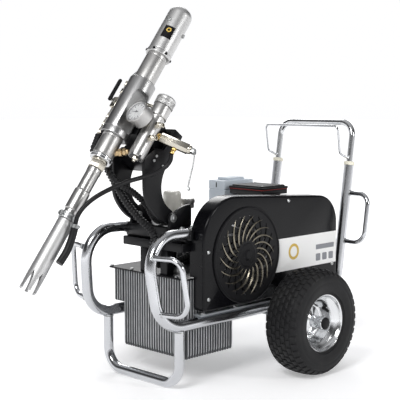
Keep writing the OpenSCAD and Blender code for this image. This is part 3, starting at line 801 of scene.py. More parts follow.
def makeRim(node, body, outward):
    low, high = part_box(node)
    centre = (low + high) / 2
    axis = Vector((0, outward, 0))
    place = turned(Vector((centre.x, outward * 0.312, centre.z)), axis)
    outer = [
        (0.019, 0.006), (0.030, 0.000), (0.046, -0.006), (0.055, -0.004), (0.0605, 0.006), (0.063, 0.022),
        (0.0665, 0.028), (0.0745, 0.0345), (0.0800, 0.0385), (0.0825, 0.0415), (0.0838, 0.0460),
        (0.0862, 0.0500), (0.0885, 0.0512), (0.0890, 0.0500), (0.0872, 0.0470), (0.0846, 0.0440),
        (0.0836, 0.0405), (0.0770, 0.0360), (0.0650, 0.0260), (0.0630, 0.0100), (0.0630, -0.0240),
        (0.0760, -0.0350), (0.0836, -0.0405), (0.0846, -0.0440), (0.0872, -0.0470), (0.0890, -0.0500),
        (0.0885, -0.0512), (0.0862, -0.0500), (0.0838, -0.0460), (0.0825, -0.0415), (0.0745, -0.0345),
        (0.0615, -0.0280), (0.0600, -0.0100), (0.0530, -0.0080), (0.0440, -0.0100), (0.0300, -0.0045),
        (0.019, -0.001),
    ]
    build = bmesh.new()
    addLathe(build, outer, place, 96, True)
    hub = eased(
        [
            (rim["bore"], -0.044), (0.0165, -0.044), (0.019, -0.041), (0.019, 0.050), (0.0165, 0.052),
            (rim["bore"], 0.052)
        ],
        0.001
    )
    addLathe(build, hub, place, 64, True)
    addPiece(node + "_dish", closeMesh(node, build), body, rimSteel, "rim_steel", [node], 28)
    seal = [(0.0098, 0.0525), (0.0150, 0.0525), (0.0158, 0.0512), (0.0158, 0.0505), (0.0098, 0.0505)]
    lathe(node + "_seal", seal, place, body, blackPlastic, "black_plastic", (), 48, True)
    a = math.radians(rim["valveTurn"])
    foot = place @ Vector((0.060 * math.cos(a), 0.060 * math.sin(a), 0.010))
    top = place @ Vector((0.047 * math.cos(a), 0.047 * math.sin(a), 0.036))
    stem = turned(foot, top - foot)
    valve = [
        (0.0, 0.0), (0.0075, 0.0), (0.0075, 0.004), (0.0052, 0.008), (0.0046, 0.020), (0.0046, 0.028),
        (0.0, 0.029)
    ]
    lathe(node + "_valve", eased(valve, 0.001), stem, body, tyreRubber, "tyre_rubber", (), 20)


rimSteel = metalFinish("rimSteel", rgb(0.80, 0.81, 0.82), 0.13, 0.12, 0.2)
makeRim("rim_right", "wheel_right", -1)
makeRim("rim_left", "wheel_left", 1)


def makeAxleCaps():
    low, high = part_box("axle_caps")
    build = bmesh.new()
    for end, side in ((low.y, -1), (high.y, 1)):
        place = turned(
            Vector(((low.x + high.x) / 2, end - side * 0.0087, (low.z + high.z) / 2)), (0, side, 0)
        )
        dome = [
            (0.0, 0.0087), (0.009, 0.0082), (0.0140, 0.0068), (0.0180, 0.0042), (0.0190, 0.0020),
            (0.0190, 0.0), (0.0094, 0.0), (0.0094, 0.004), (0.0, 0.004)
        ]
        addLathe(build, dome, place, 40)
    keepPiece("axleCaps", build, "chassis", blackPlastic, "black_plastic", ["axle_caps"], 50)


makeAxleCaps()
print("rims made")


# Hoses

hose = {"spiralRise": 0.0026, "spiralPitch": 0.0098, "step": 0.0016}


returnRoute = mm([
    (-203, -129, 690), (-204, -127, 674), (-213, -120, 657), (-230, -110, 644), (-257, -101, 633),
    (-291, -92, 625), (-332, -86, 617), (-372, -78, 604), (-408, -68, 589), (-435, -58, 573),
    (-459, -48, 552), (-476, -42, 528), (-484, -41, 505),
])
returnTail = mm([(-484, -41, 505), (-492, -41, 480), (-502, -41, 456), (-517, -41, 430), (-541, -41, 403)])
feedRoute = mm([
    (-319, 54, 743), (-332, 50, 723), (-345, 47, 700), (-338, 44, 678), (-313, 40, 662), (-295, 30, 624),
    (-286, 15, 595), (-260, 0, 544), (-228, -20, 496), (-200, -30, 468), (-184, -34, 440), (-186, -30, 412),
    (-182, -18, 385), (-166, -6, 362), (-138, -2, 348), (-100, -4, 345), (-55, -12, 352), (-20, -18, 366),
    (11, -20, 376),
])
drainRoute = mm([
    (-285, 36, 712), (-302, 26, 683), (-316, 14, 657), (-323, 4, 640), (-314, -2, 622), (-290, -8, 600),
    (-246, -14, 574), (-204, -20, 538), (-188, -22, 514), (-170, -18, 494), (-140, -5, 482), (-105, 15, 484),
    (-76, 34, 481), (-52, 50, 471),
])


def spiral(radius):
    def size(travelled, a):
        wave = math.cos(a - 2 * math.pi * travelled / hose["spiralPitch"])
        return radius - hose["spiralRise"] * (1 - min(1, max(0, 0.5 + wave * 1.6)))
    return size


def makeSpiralHoses():
    build = bmesh.new()
    addTube(build, smoothLine(feedRoute, hose["step"]), 0.0113, 28, spiral(0.0117))
    addTube(build, smoothLine(drainRoute, hose["step"]), 0.0098, 28, spiral(0.0102))
    data = closeMesh("tiltHoses", build)
    data.materials.append(hoseRubber)
    data.polygons.foreach_set("use_smooth", [True] * len(data.polygons))
    piece = bpy.data.objects.new("tiltHoses", data)
    linkUp(piece)
    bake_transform(piece)
    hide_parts("tilt_hoses")


def makeReturnHose():
    build = bmesh.new()
    addTube(build, smoothLine(returnRoute, 0.006), 0.0065, 24)
    tail = smoothLine(returnTail, 0.003)
    addTube(build, tail, 0.0108, 28, lambda s, a: 0.0108 + (0.0012 if s < 0.012 else 0))
    keepPiece("returnHose", build, "pump_arm", hoseRubber, "hose_rubber", ["return_hose"], 50)
    clamp = turned(
        Vector(returnTail[0]).lerp(Vector(returnTail[1]), 0.2), Vector(returnTail[1]) - Vector(returnTail[0])
    )
    band = [(0.0118, -0.005), (0.0128, -0.005), (0.0128, 0.005), (0.0118, 0.005)]
    lathe("hoseClamp", band, clamp, "pump_arm", zincPart, "zinc_fitting", (), 40, True)
    screw = clamp @ Matrix.Translation((0, -0.0135, 0)) @ spun(90, "Y")
    lathe(
        "hoseClampScrew", eased([(0, -0.007), (0.003, -0.007), (0.003, 0.007), (0, 0.007)], 0.0008), screw,
        "pump_arm", zincPart, "zinc_fitting", (), 20
    )


makeSpiralHoses()
makeReturnHose()
print("hoses made")


# Oil tank: a plain body, with rows of tapered fins whose feet curve in

tank = {"fin": 0.0046, "depth": 0.009, "pitch": 0.011, "foot": 0.024, "split": 0.2145, "step": 0.046}


def addFin(build, place, depth, low, high, foot, width):
    outline = [(0.0, low), (depth * 0.25, low)]
    for i in range(1, 6):
        a = math.radians(90 * i / 5)
        outline.append((depth * 0.25 + depth * 0.75 * math.sin(a), low + foot * (1 - math.cos(a))))
    outline += [(depth, high), (0.0, high)]
    addPrism(build, outline, place, -width / 2, width / 2, 0.0009, 2)


def finRow(name, start, along, out, length, low, high, foot):
    count = round(length / tank["pitch"]) + 1
    pitch = length / (count - 1)
    out, along = Vector(out), Vector(along)
    place = Matrix((out, Vector((0, 0, 1)), out.cross(Vector((0, 0, 1))))).transposed().to_4x4()
    place.translation = start
    build = bmesh.new()
    addFin(build, place, tank["depth"], low, high, foot, tank["fin"])
    repeated(name, build, count, "chassis", tankPaint, "tank_grey", (0, 0, 0), (0, 0, 0), along * pitch)


def makeTank():
    low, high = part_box("oil_tank")
    d, fin = tank["depth"], tank["fin"]
    left = high.y - tank["step"]
    build = bmesh.new()
    addPrism(build, rect(low.x + d, low.y + d, high.x - d, left - d), upright, low.z, tank["split"], 0.003)
    addPrism(
        build, rect(low.x + d, low.y + d, high.x - d, high.y - d), upright, tank["split"] - 0.001, high.z,
        0.001
    )
    keepPiece("tankBody", build, "chassis", tankPaint, "tank_grey", ["oil_tank"])
    x0, x1, y0, y1 = low.x + d + fin / 2, high.x - d - fin / 2, low.y + d + fin / 2, left - d - fin / 2
    top, split, foot = high.z, tank["split"], tank["foot"]
    finRow("finsFront", Vector((low.x + d, y0, 0)), (0, 1, 0), (-1, 0, 0), y1 - y0, low.z, top, foot)
    finRow("finsBack", Vector((high.x - d, y0, 0)), (0, 1, 0), (1, 0, 0), y1 - y0, low.z, top, foot)
    finRow("finsRight", Vector((x0, low.y + d, 0)), (1, 0, 0), (0, -1, 0), x1 - x0, low.z, top, foot)
    finRow("finsLeft", Vector((x0, left - d, 0)), (1, 0, 0), (0, 1, 0), x1 - x0, low.z, split, foot)
    y2, y3 = left + d * 0.3, high.y - d - fin / 2
    finRow("finsFrontWide", Vector((low.x + d, y2, 0)), (0, 1, 0), (-1, 0, 0), y3 - y2, split, top, 0.006)
    finRow("finsBackWide", Vector((high.x - d, y2, 0)), (0, 1, 0), (1, 0, 0), y3 - y2, split, top, 0.006)
    finRow("finsLeftWide", Vector((x0, high.y - d, 0)), (1, 0, 0), (0, 1, 0), x1 - x0, split, top, 0.006)


makeTank()


def makeLid():
    low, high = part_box("tank_lid")
    top = low.z + 0.005
    neck = Vector((0.045, 0.060, 0))
    build = bmesh.new()
    addSlab(build, low, high, 0.006, low.z, top, 0.0012)
    outline = eased([(0.011, top), (0.014, top), (0.014, high.z), (0.011, high.z)], 0.0008)
    addLathe(build, outline, Matrix.Translation(neck), 48, True)
    keepPiece("tankLid", build, "chassis", blackPaint, "black_paint", ["tank_lid"])


makeLid()


# Filler cap: a polished cap with grip ribs round its skirt
def makeFillerCap():
    low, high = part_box("filler_cap")
    mid = (low + high) / 2
    base = Matrix.Translation((mid.x, mid.y, low.z))
    h = high.z - low.z
    outline = [
        (0.0142, 0.0), (0.0215, 0.0), (0.0225, 0.001), (0.0225, h * 0.45), (0.0236, h * 0.52),
        (0.0236, h * 0.9), (0.0225, h * 0.97), (0.0200, h), (0.0, h), (0.0, 0.017), (0.0142, 0.017),
    ]
    lathe(
        "fillerCap", eased(outline, 0.0008), base, "filler_cap", satin, "polished_steel", ["filler_cap"], 64
    )
    build = bmesh.new()
    addPrism(build, rect(0.0228, -0.0009, 0.0249, 0.0009), base, h * 0.54, h * 0.88, 0.0005)
    repeated(
        "fillerCapRibs", build, 36, "filler_cap", satin, "polished_steel", (mid.x, mid.y, 0),
        (0, 0, math.radians(10))
    )


makeFillerCap()


# Return filter: a spin-on canister on its head
def makeCanister():
    low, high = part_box("return_filter")
    mid = (low + high) / 2
    h = high.z - low.z
    base = Matrix.Translation((mid.x, mid.y, low.z))
    outline = [
        (0.0, 0.0), (0.025, 0.0), (0.0288, 0.001), (0.0290, 0.004), (0.0280, 0.006), (0.0280, 0.010),
        (0.0288, 0.012)
    ]
    outline += [(0.0288, h - 0.012), (0.0270, h - 0.005), (0.0215, h - 0.0012), (0.012, h), (0.0, h)]
    lathe(
        "canister", eased(outline, 0.001), base, "chassis", whitePaint, "white_paint", ["return_filter"], 64
    )
    build = bmesh.new()
    addPrism(build, rect(0.0262, -0.003, 0.0284, 0.003), base, h - 0.024, h - 0.010, 0.0012)
    repeated(
        "canisterFlats", build, 12, "chassis", whitePaint, "white_paint", (mid.x, mid.y, 0),
        (0, 0, math.radians(30))
    )


makeCanister()
print("oil unit made")


# Belt guard: a pressed shell with a rolled edge, open at the back and round the vent

guard = {
    "wall": 0.003, "edge": 0.007, "low": 0.226, "front": -0.133, "ventRadius": 0.138,
    "tankNotch": (0.061, 0.326, -0.150)
}
guardArcs = [
    ((-0.119, 0.240), 0.014, 180, 270), ((0.476, 0.256), 0.030, 270, 360), ((0.411, 0.438), 0.095, 0, 86.2),
    ((0.001, 0.425), 0.134, 86.2, 180)
]
ventCentre = Vector((0.055, 0.376))


def guardOutline(inset, steps=14):
    points = []
    for i, (centre, radius, start, end) in enumerate(guardArcs):
        points += arcPoints(centre, radius - inset, start, end, steps)
        if i == 0:
            points += [(guard["tankNotch"][0] - step, guard["low"] + inset) for step in (0.0002, 0)]
    points += [(guard["front"] + inset, guard["tankNotch"][1] + step) for step in (0.0002, 0)]
    return points


def makeGuard():
    low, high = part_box("belt_guard")
    face, back, wall, edge = low.y, high.y, guard["wall"], guard["edge"]
    build = bmesh.new()

    def backAt(x, z):
        nx, nz, ny = guard["tankNotch"]
        return ny if x < nx - 0.0001 and z < nz + 0.0001 else back

    def ring(inset, y=None):
        return [build.verts.new((x, backAt(x, z) if y is None else y, z)) for x, z in guardOutline(inset)]

    def circle(y):
        return [build.verts.new((x, y, z)) for x, z in arcPoints(ventCentre, guard["ventRadius"], 0, 355, 71)]

    def fill(outer, inner):
        edges = []
        for loop in (outer, inner):
            for i in range(len(loop)):
                pair = (loop[i], loop[(i + 1) % len(loop)])
                edges.append(build.edges.get(pair) or build.edges.new(pair))
        bmesh.ops.triangle_fill(build, use_beauty=True, use_dissolve=False, edges=edges)

    outer = [ring(0.0)]
    for i in range(6):
        a = math.radians(90 * i / 5)
        outer.append(ring(edge * (1 - math.cos(a)), face + edge * (1 - math.sin(a))))
    joinRings(build, outer, False)
    inner = [ring(wall), ring(wall, face + edge), ring(edge, face + wall)]
    joinRings(build, inner, False)
    joinRings(build, [outer[0], inner[0]], False)
    front, behind = circle(face), circle(face + wall)
    fill(outer[-1], front)
    fill(inner[-1], behind)
    joinRings(build, [front, behind], False)
    keepPiece("beltGuard", build, "chassis", guardPaint, "black_paint", ["belt_guard"], 40)


guardPaint = paintFinish(
    "guardPaint", rgb(0.003, 0.003, 0.004), 0.18, 0.10, 0.03, rgb(0.03, 0.03, 0.03), 0.06, 0.14
)
makeGuard()


# Vent cover: a raised disc whose curved windows each have a scoop on one side; the scoops carry a painted
# highlight, a gold-tinted metal on the black plastic
vent = {"windows": 18, "inner": 0.042, "outer": 0.124, "sweep": -46, "rise": 0.005}


def makeVent():
    place = Matrix.Translation((ventCentre.x, 0, ventCentre.y)) @ sidePlace()
    lip = [
        (0.1400, 0.1925), (0.1480, 0.1902), (0.1480, 0.1945), (0.1462, 0.1962), (0.1425, 0.1962),
        (0.1400, 0.1945)
    ]
    lathe("ventLip", eased(lip, 0.0006), place, "chassis", ventPlastic, "black_plastic", (), 96, True)
    boss = [
        (0.0, 0.1985), (0.008, 0.1985), (0.014, 0.1975), (0.017, 0.1940), (0.034, 0.1952), (0.0375, 0.1942),
        (0.0375, 0.1932), (0.0, 0.1932)
    ]
    lathe("ventBoss", eased(boss, 0.0008), place, "chassis", ventPlastic, "black_plastic", (), 64)
    build = bmesh.new()
    rows = []
    steps = 12
    for i in range(steps + 1):
        t = i / steps
        r = vent["inner"] + (vent["outer"] - vent["inner"]) * t
        a = math.radians(vent["sweep"] * t + 1.2)
        wide = 0.0072 * math.sin(math.pi * t) ** 0.7 + 0.0006
        rise = vent["rise"] * math.sin(math.pi * t) ** 0.8
        normal = Vector((-math.sin(a), math.cos(a), 0))
        foot = Vector((r * math.cos(a), r * math.sin(a), 0.1936))
        cross = [
            foot, foot + Vector((0, 0, rise)) + normal * wide * 0.3,
            foot + Vector((0, 0, rise * 0.8)) + normal * wide, foot + normal * wide * 0.5
        ]
        rows.append([build.verts.new(place @ p) for p in cross])
    joinRings(build, rows)
    centre = (ventCentre.x, 0, ventCentre.y)
    turn = (0, -2 * math.pi / vent["windows"], 0)
    repeated(
        "ventScoops", build, vent["windows"], "chassis", paintedGlintGold, "black_plastic", centre, turn, (0, 0, 0),
        50
    )


ventPlastic = plasticFinish("ventPlastic", rgb(0.003, 0.003, 0.004), 0.34, 0.12, 700, 0.06, 0.16)
# painted highlight: the scoops of the black plastic vent take a gold-tinted metal finish that stands in for
# gold glints on the vanes
paintedGlintGold = metalFinish("ventPaintedGlint", rgb(0.26, 0.235, 0.185), 0.22, 0.1)
makeVent()


# Guard face: a plain pale plate with generic marks, and no words on it
plate = {
    "left": 0.152,
    "right": 0.500,
    "low": 0.304,
    "high": 0.409,
    "thick": 0.0008,
    "band": (0.392, 0.356, 0.488, 0.372),
    "squares": (0.392, 0.426, 0.460),
    "ring": (0.278, 0.362),
}


def makePlate():
    place = sidePlace()
    face = -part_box("belt_guard")[0].y
    outline = []
    a0 = math.asin((plate["low"] - ventCentre.y) / plate["left"])
    a1 = math.asin((plate["high"] - ventCentre.y) / plate["left"])
    for i in range(13):
        a = a0 + (a1 - a0) * i / 12
        outline.append(
            (ventCentre.x + plate["left"] * math.cos(a), ventCentre.y + plate["left"] * math.sin(a))
        )
    outline = [(plate["right"], plate["low"]), (plate["right"], plate["high"])] + outline[::-1]
    build = bmesh.new()
    addPrism(build, outline, place, face, face + plate["thick"], 0.0002)
    keepPiece("guardPlate", build, "chassis", labelWhite, "grey_plastic")
    top = face + plate["thick"]
    mark = bmesh.new()
    addPrism(mark, roundRect(*plate["band"], 0.002), place, top, top + 0.0002)
    for x in plate["squares"]:
        addPrism(mark, roundRect(x, 0.318, x + 0.024, 0.342, 0.004), place, top, top + 0.0002)
    keepPiece("plateMarks", mark, "chassis", labelGrey, "black_plastic")
    disc = Matrix.Translation((plate["ring"][0], 0, plate["ring"][1])) @ place
    ringOutline = [(0.017, top), (0.026, top), (0.026, top + 0.0003), (0.017, top + 0.0003)]
    lathe("plateRing", ringOutline, disc, "chassis", labelOchre, "grey_plastic", (), 64, True)


labelOchre = plasticFinish("plainOchre", rgb(0.62, 0.42, 0.07), 0.4, 0.05)
makePlate()
print("guard made")


# The pump leans on its own axis: a place whose Z runs up the pump and whose X faces the cart

joints = {j["name"]: j for j in frame["joints"]}
gaugeCentre = Vector((-0.032, -0.080, 0.580))
pumpAxis = Vector(joints["piston_stroke"]["axis"]).normalized()
pumpTurn = Matrix((Vector((pumpAxis.z, 0, -pumpAxis.x)), (0, 1, 0), pumpAxis)).transposed()
pumpFoot = Vector(joints["gauge_needle_turn"]["pos_m"]) - pumpTurn @ gaugeCentre
pumpPlace = Matrix.Translation(pumpFoot) @ pumpTurn.to_4x4()


# A place on the pump, its Z turned from the pump's axis to the given direction
def onPump(n, y, s, direction=(0, 0, 1)):
    return pumpPlace @ turned(Vector((n, y, s)) / 1000, direction)


def pumpLathe(name, outline, finish, slot, replaces=(), place=pumpPlace, sides=64, ease=0.6, closed=True):
    lathe(name, eased(mm(outline), ease / 1000), place, "pump_arm", finish, slot, replaces, sides, closed)


# A nut or block with flat sides and bevelled ends; radius is measured to its corners
def addNut(build, place, radius, low, high, sides=6, chamfer=0.12):
    cut = radius * chamfer
    part = bmesh.new()
    turns = [2 * math.pi * i / sides for i in range(sides)]
    addPrism(part, [(radius * math.cos(a), radius * math.sin(a)) for a in turns], upright, low, high)
    corners = [e for e in part.edges if abs(e.verts[0].co.z - e.verts[1].co.z) < 1e-6]
    bmesh.ops.bevel(
        part, geom=corners, offset=cut, segments=2, profile=0.5, affect="EDGES", clamp_overlap=True
    )
    joinPart(build, part, place)


def addBar(build, a, b, radius, place=pumpPlace):
    a, b = Vector(a) / 1000, Vector(b) / 1000
    length = (b - a).length
    outline = [(0.0, 0.0), (radius, 0.0), (radius, length), (0.0, length)]
    addLathe(build, eased(outline, 0.0006), place @ turned(a, b - a), 28)


# Cuts the cutter's shapes out of a solid
def carved(name, solid, cutter):
    parts = []
    for label, build in ((name, solid), (name + "Cut", cutter)):
        piece = bpy.data.objects.new(label, closeMesh(label, build))
        linkUp(piece)
        parts.append(piece)
    cut = parts[0].modifiers.new("cut", "BOOLEAN")
    cut.operation = "DIFFERENCE"
    cut.solver = "EXACT"
    cut.object = parts[1]
    data = bpy.data.meshes.new_from_object(parts[0].evaluated_get(bpy.context.evaluated_depsgraph_get()))
    for piece in parts:
        old = piece.data
        bpy.data.objects.remove(piece)
        bpy.data.meshes.remove(old)
    data.name = name
    return data


# Column of the pump, from the cap down to the suction foot

def makeHead():
    outline = [
        (24, 800), (37.4, 800), (38.8, 801), (39, 802), (39, 812), (38.6, 813.4), (37.2, 814.2), (37.2, 815.2)
    ]
    outline += [(37.5, 816.2), (37.5, 930)] + arcPoints((11.5, 954), 26, 0, 76) + [
        (16.6, 979.2), (15.6, 979.0), (15.2, 980.6)
    ]
    outline += [(13.5, 983.2), (0, 984), (0, 945), (24, 945)]
    pumpLathe("headCap", outline, satinBright, "satin_steel", ["cylinder_head"], sides=80, ease=0.5)
    build = bmesh.new()
    addNut(build, onPump(-35.4, -9.5, 915, (-0.966, -0.259, 0)), 0.0078, 0.0, 0.0042)
    addTurned(
        build, [(0, 4.2), (6.2, 4.2), (6.2, 5.6), (4.4, 6.2), (0, 6.4)], 0.0004,
        onPump(-35.4, -9.5, 915, (-0.966, -0.259, 0)), 32
    )
    addNut(build, onPump(22.7, -29.0, 897, (0.616, -0.788, 0)), 0.0068, 0.0, 0.0058)
    keepPiece("headPlugs", build, "pump_arm", zincPart, "satin_steel")
    build = bmesh.new()
    addTurned(
        build, [(0, 0), (4, 0), (4, 2.6), (3.4, 3), (2.1, 3), (1.9, 1.2), (0, 1.2)], 0.0003,
        turned((0.0389, 0, 0.807), (1, 0, 0)), 20
    )
    repeatRound("headScrews", build, 6, "pump_arm", blackPlastic, "black_plastic", pumpPlace @ spun(20, "Z"))
    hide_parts("head_screws")


def makeHeadPlate():
    build = bmesh.new()
    low, high = 0.852, 0.894
    spots = []
    for s in (low, high):
        for i in range(13):
            a = math.radians(195 + 50 * i / 12)
            spots.append((s, a))
    rings = []
    for radius in (0.03745, 0.0379):
        corners = [Vector((radius * math.cos(a), radius * math.sin(a), s)) for s, a in spots]
        rings.append([build.verts.new(pumpPlace @ p) for p in corners])
    inner, outer = rings
    for ring, flip in ((inner, True), (outer, False)):
        for i in range(12):
            quad = [ring[i], ring[i + 1], ring[14 + i], ring[13 + i]]
            build.faces.new(quad[::-1] if flip else quad)
    rim = list(range(13)) + list(range(25, 12, -1))
    for a, b in zip(rim, rim[1:] + rim[:1]):
        build.faces.new([inner[a], inner[b], outer[b], outer[a]])
    keepPiece("headPlate", build, "pump_arm", blackPaint, "black_paint")
    build = bmesh.new()
    badge = pumpPlace @ spun(220, "Z") @ turned((0.0376, 0, 0.880), (1, 0, 0))
    addLathe(build, mm([(4.4, 0.2), (7.4, 0.1), (7.4, 0.55), (4.4, 0.75)]), badge, 40, True)
    keepPiece("headBadge", build, "pump_arm", labelOchre, "grey_plastic")


def makeColumn():
    barrel = [
        (24, 704), (32.5, 704), (32.5, 706), (32.0, 706.4), (32.0, 707.4), (32.5, 708), (32.5, 788),
        (31.8, 788.6)
    ]
    barrel += [(31.8, 791.0), (32.5, 791.6), (32.5, 800), (24, 800)]
    pumpLathe("oilCylinder", barrel, satin, "satin_steel", ["hydraulic_cylinder"], ease=0.3)
    sleeve = [
        (18, 440), (31, 440), (31, 441), (30.4, 441.5), (30.4, 443), (31, 443.5), (31, 500), (29.8, 501.2)
    ]
    sleeve += [(29.8, 503.4), (31, 504.6), (31, 508), (18, 508)]
    pumpLathe("paintCylinder", sleeve, satin, "polished_steel", ["fluid_cylinder"], ease=0.4)
    ring = [
        (15, 426), (32.4, 426), (33.5, 427.2), (33.5, 431), (32.4, 432), (32.4, 434), (33.5, 435),
        (33.5, 438.6), (32.2, 440), (15, 440)
    ]
    pumpLathe("footRing", ring, chrome, "satin_steel", ["foot_valve"], ease=0.5)
    build = bmesh.new()
    addNut(build, pumpPlace, 0.025, 0.3965, 0.4215, 6, 0.09)
    addTurned(build, [(15, 421), (22.6, 421), (24, 422.4), (24, 426), (15, 426)], 0.0004, pumpPlace, 64, True)
    keepPiece("footNut", build, "pump_arm", nickel, "satin_steel")
    pipe = [
        (16, 200), (20.5, 200), (20.5, 255), (21.6, 256.2), (23.5, 258), (23.5, 318), (22.6, 321),
        (20.8, 322), (20.5, 324)
    ]
    pipe += [(20.5, 380), (21.4, 382), (21.4, 395), (20.8, 396), (16, 396)]
    pumpLathe("suctionPipe", pipe, softSteel, "polished_steel", ["suction_pipe"], ease=0.6)
    band = [
        (20.6, 224), (26.2, 224), (27, 225), (27, 229), (25.6, 230.2), (25.6, 237.8), (27, 239), (27, 243),
        (26.2, 244), (20.6, 244)
    ]
    pumpLathe("clampBand", band, zincPart, "zinc_fitting", ["pipe_clamp"], ease=0.4)
    build = bmesh.new()
    for y in (-4.4, 4.4):
        outline = roundRect(-0.034, 0.226, -0.0255, 0.242, 0.003)
        tab = pumpPlace @ sidePlace(y / 1000)
        addPrism(build, outline, tab, -0.0011, 0.0011, 0.0004)
    addBar(build, (-30, -9, 234), (-30, 9, 234), 0.0024)
    addNut(build, onPump(-30, 5.6, 234, (0, 1, 0)), 0.0035, 0.0, 0.003)
    keepPiece("clampBolt", build, "pump_arm", zincPart, "zinc_fitting")


def makeSuctionFoot():
    build = bmesh.new()
    outline = [
        (20.6, 0), (25.0, 0), (25.5, 0.8), (25.3, 30), (24.1, 206), (24.6, 208), (24.6, 214), (24.0, 215),
        (24.0, 221), (23.4, 222), (20.6, 222)
    ]
    addTurned(build, outline, 0.0004, pumpPlace, 96, True)
    cutter = bmesh.new()
    window = [(-9, -2), (9, -2), (8.6, 14), (7, 30), (3.8, 46), (0, 58), (-3.8, 46), (-7, 30), (-8.6, 14)]
    for a in (0, 60, 120):
        place = pumpPlace @ spun(a, "Z") @ spun(90, "X")
        addPrism(cutter, mm(window), place, -0.04, 0.04)
    addPiece(
        "suctionFoot", carved("suctionFoot", build, cutter), "pump_arm", alloy, "polished_steel",
        ["suction_foot"]
    )


def makeBlock():
    build = bmesh.new()
    outline = [
        (18, 508), (39.6, 508), (41, 509.4), (41, 527), (40.5, 527.5), (40.5, 528.6), (41, 529), (41, 702),
        (40, 703.4), (38.5, 704), (18, 704)
    ]
    addTurned(build, outline, 0.0003, pumpPlace, 112, True)
    cutter = bmesh.new()
    addPrism(cutter, rect(0.036, -0.05, 0.056, 0.05), pumpPlace, 0.500, 0.720)
    facing = pumpPlace @ sidePlace()
    addPrism(cutter, roundRect(-0.030, 0.5285, 0.022, 0.664, 0.012, 6), facing, 0.026, 0.052)
    addPiece(
        "pumpBlock", carved("pumpBlock", build, cutter), "pump_arm", blockSteel, "polished_steel",
        ["pump_block"], 30
    )


satinBright = metalFinish("headSteel", rgb(0.58, 0.58, 0.575), 0.36, 0.06, 0.06)
blockSteel = metalFinish("blockSteel", rgb(0.42, 0.42, 0.42), 0.26, 0.1, 0.08)
nickel = metalFinish("nickelPart", rgb(0.56, 0.53, 0.46), 0.16, 0.12, 0.2)
makeHead()
makeHeadPlate()
makeColumn()
makeSuctionFoot()
makeBlock()
print("pump column made")


# Pressure gauge: a polished case with a bezel, a dial with marks, a needle and a clear front

gauge = {"radius": 35.5, "depth": 40, "marks": 28, "sweep": 270}


def makeGauge():
    face = onPump(-32, -80, 580, (-1, 0, 0))
    r, depth = gauge["radius"], gauge["depth"]
    case = [
        (0, -depth), (r - 4, -depth), (r - 2.6, -depth + 1.4), (r - 2.6, -9), (r - 0.2, -8), (r, -7),
        (r, -1.4), (r - 1.4, 0)
    ]
    case += [(r - 3.2, -0.6), (r - 4.6, -2.6), (r - 4.8, -5), (0, -5)]
    lathe(
        "gaugeCase", eased(mm(case), 0.0005), face, "pump_arm", softSteel, "polished_steel",
        ["pressure_gauge"], 80, False, 32
    )
    for name, inner, outer, finish, slot in (
        ("gaugeDial", 1.6, r - 5, dialWhite, "white_paint"),
        ("gaugeRim", r - 6.4, r - 4.9, blackPlastic, "black_plastic")
    ):
        rise = 0.25 if inner > 2 else 0
        band = [(inner, -4.95), (outer, -4.95), (outer, -4.4 + rise), (inner, -4.4 + rise)]
        lathe(name, mm(band), face, "pump_arm", finish, slot, (), 64, True)
    build = bmesh.new()
    start = math.radians(gauge["sweep"] / 2)
    addPrism(
        build, rect(0.0235, -0.0003, 0.0285, 0.0003), Matrix.Rotation(math.radians(90) + start, 4, "Z"),
        -0.0044, -0.00415
    )
    step = -math.radians(gauge["sweep"]) / (gauge["marks"] - 1)
    repeatRound("gaugeMarks", build, gauge["marks"], "pump_arm", blackPlastic, "black_plastic", face, step)
    build = bmesh.new()
    addPrism(
        build, rect(0.0195, -0.0009, 0.0280, 0.0009), Matrix.Rotation(math.radians(90) + start, 4, "Z"),
        -0.0044, -0.0041
    )
    repeatRound("gaugeTens", build, 10, "pump_arm", blackPlastic, "black_plastic", face, step * 3)
    glass = [(0, -1.9), (r - 4.4, -1.9), (r - 4.4, -0.9), (0, -0.9)]
    lathe("gaugeGlass", mm(glass), face, "pump_arm", clearFront, "white_paint", (), 64)
    build = bmesh.new()
    addBar(build, (8, -80, 580), (14, -80, 580), 0.008)
    addNut(build, onPump(14, -77, 580, (0, 1, 0)), 0.0085, 0.002, 0.014)
    addBar(build, (14, -86, 580), (14, -26, 580), 0.005)
    keepPiece("gaugeStem", build, "pump_arm", nickel, "zinc_fitting")
    build = bmesh.new()
    hand = [
        (-0.0011, -0.008), (0.0011, -0.008), (0.0009, 0.004), (0.0003, 0.024), (-0.0003, 0.024),
        (-0.0009, 0.004)
    ]
    addPrism(build, hand, face, -0.0034, -0.0028, 0.0001)
    addTurned(
        build, [(0, -11), (1.5, -11), (1.5, -3.4), (3.6, -3.2), (3.8, -2.4), (0, -2.1)], 0.0003, face, 32
    )
    keepPiece("gaugeHand", build, "gauge_needle", blackPlastic, "needle_black", ["gauge_needle"])


def clearFinish():
    f = Finish("clearFront", Metallic=0.0, Alpha=0.12)
    fine = f.noise(90, 2)
    f.set("Base Color", f.mix(fine * 0.1, rgb(0.9, 0.92, 0.95), rgb(0.8, 0.84, 0.9)))
    f.set("Roughness", 0.03 + fine * 0.04)
    return f.material


clearFront = clearFinish()
makeGauge()


# Paint filter: a two-step body with a notched foot, and a knurled cap

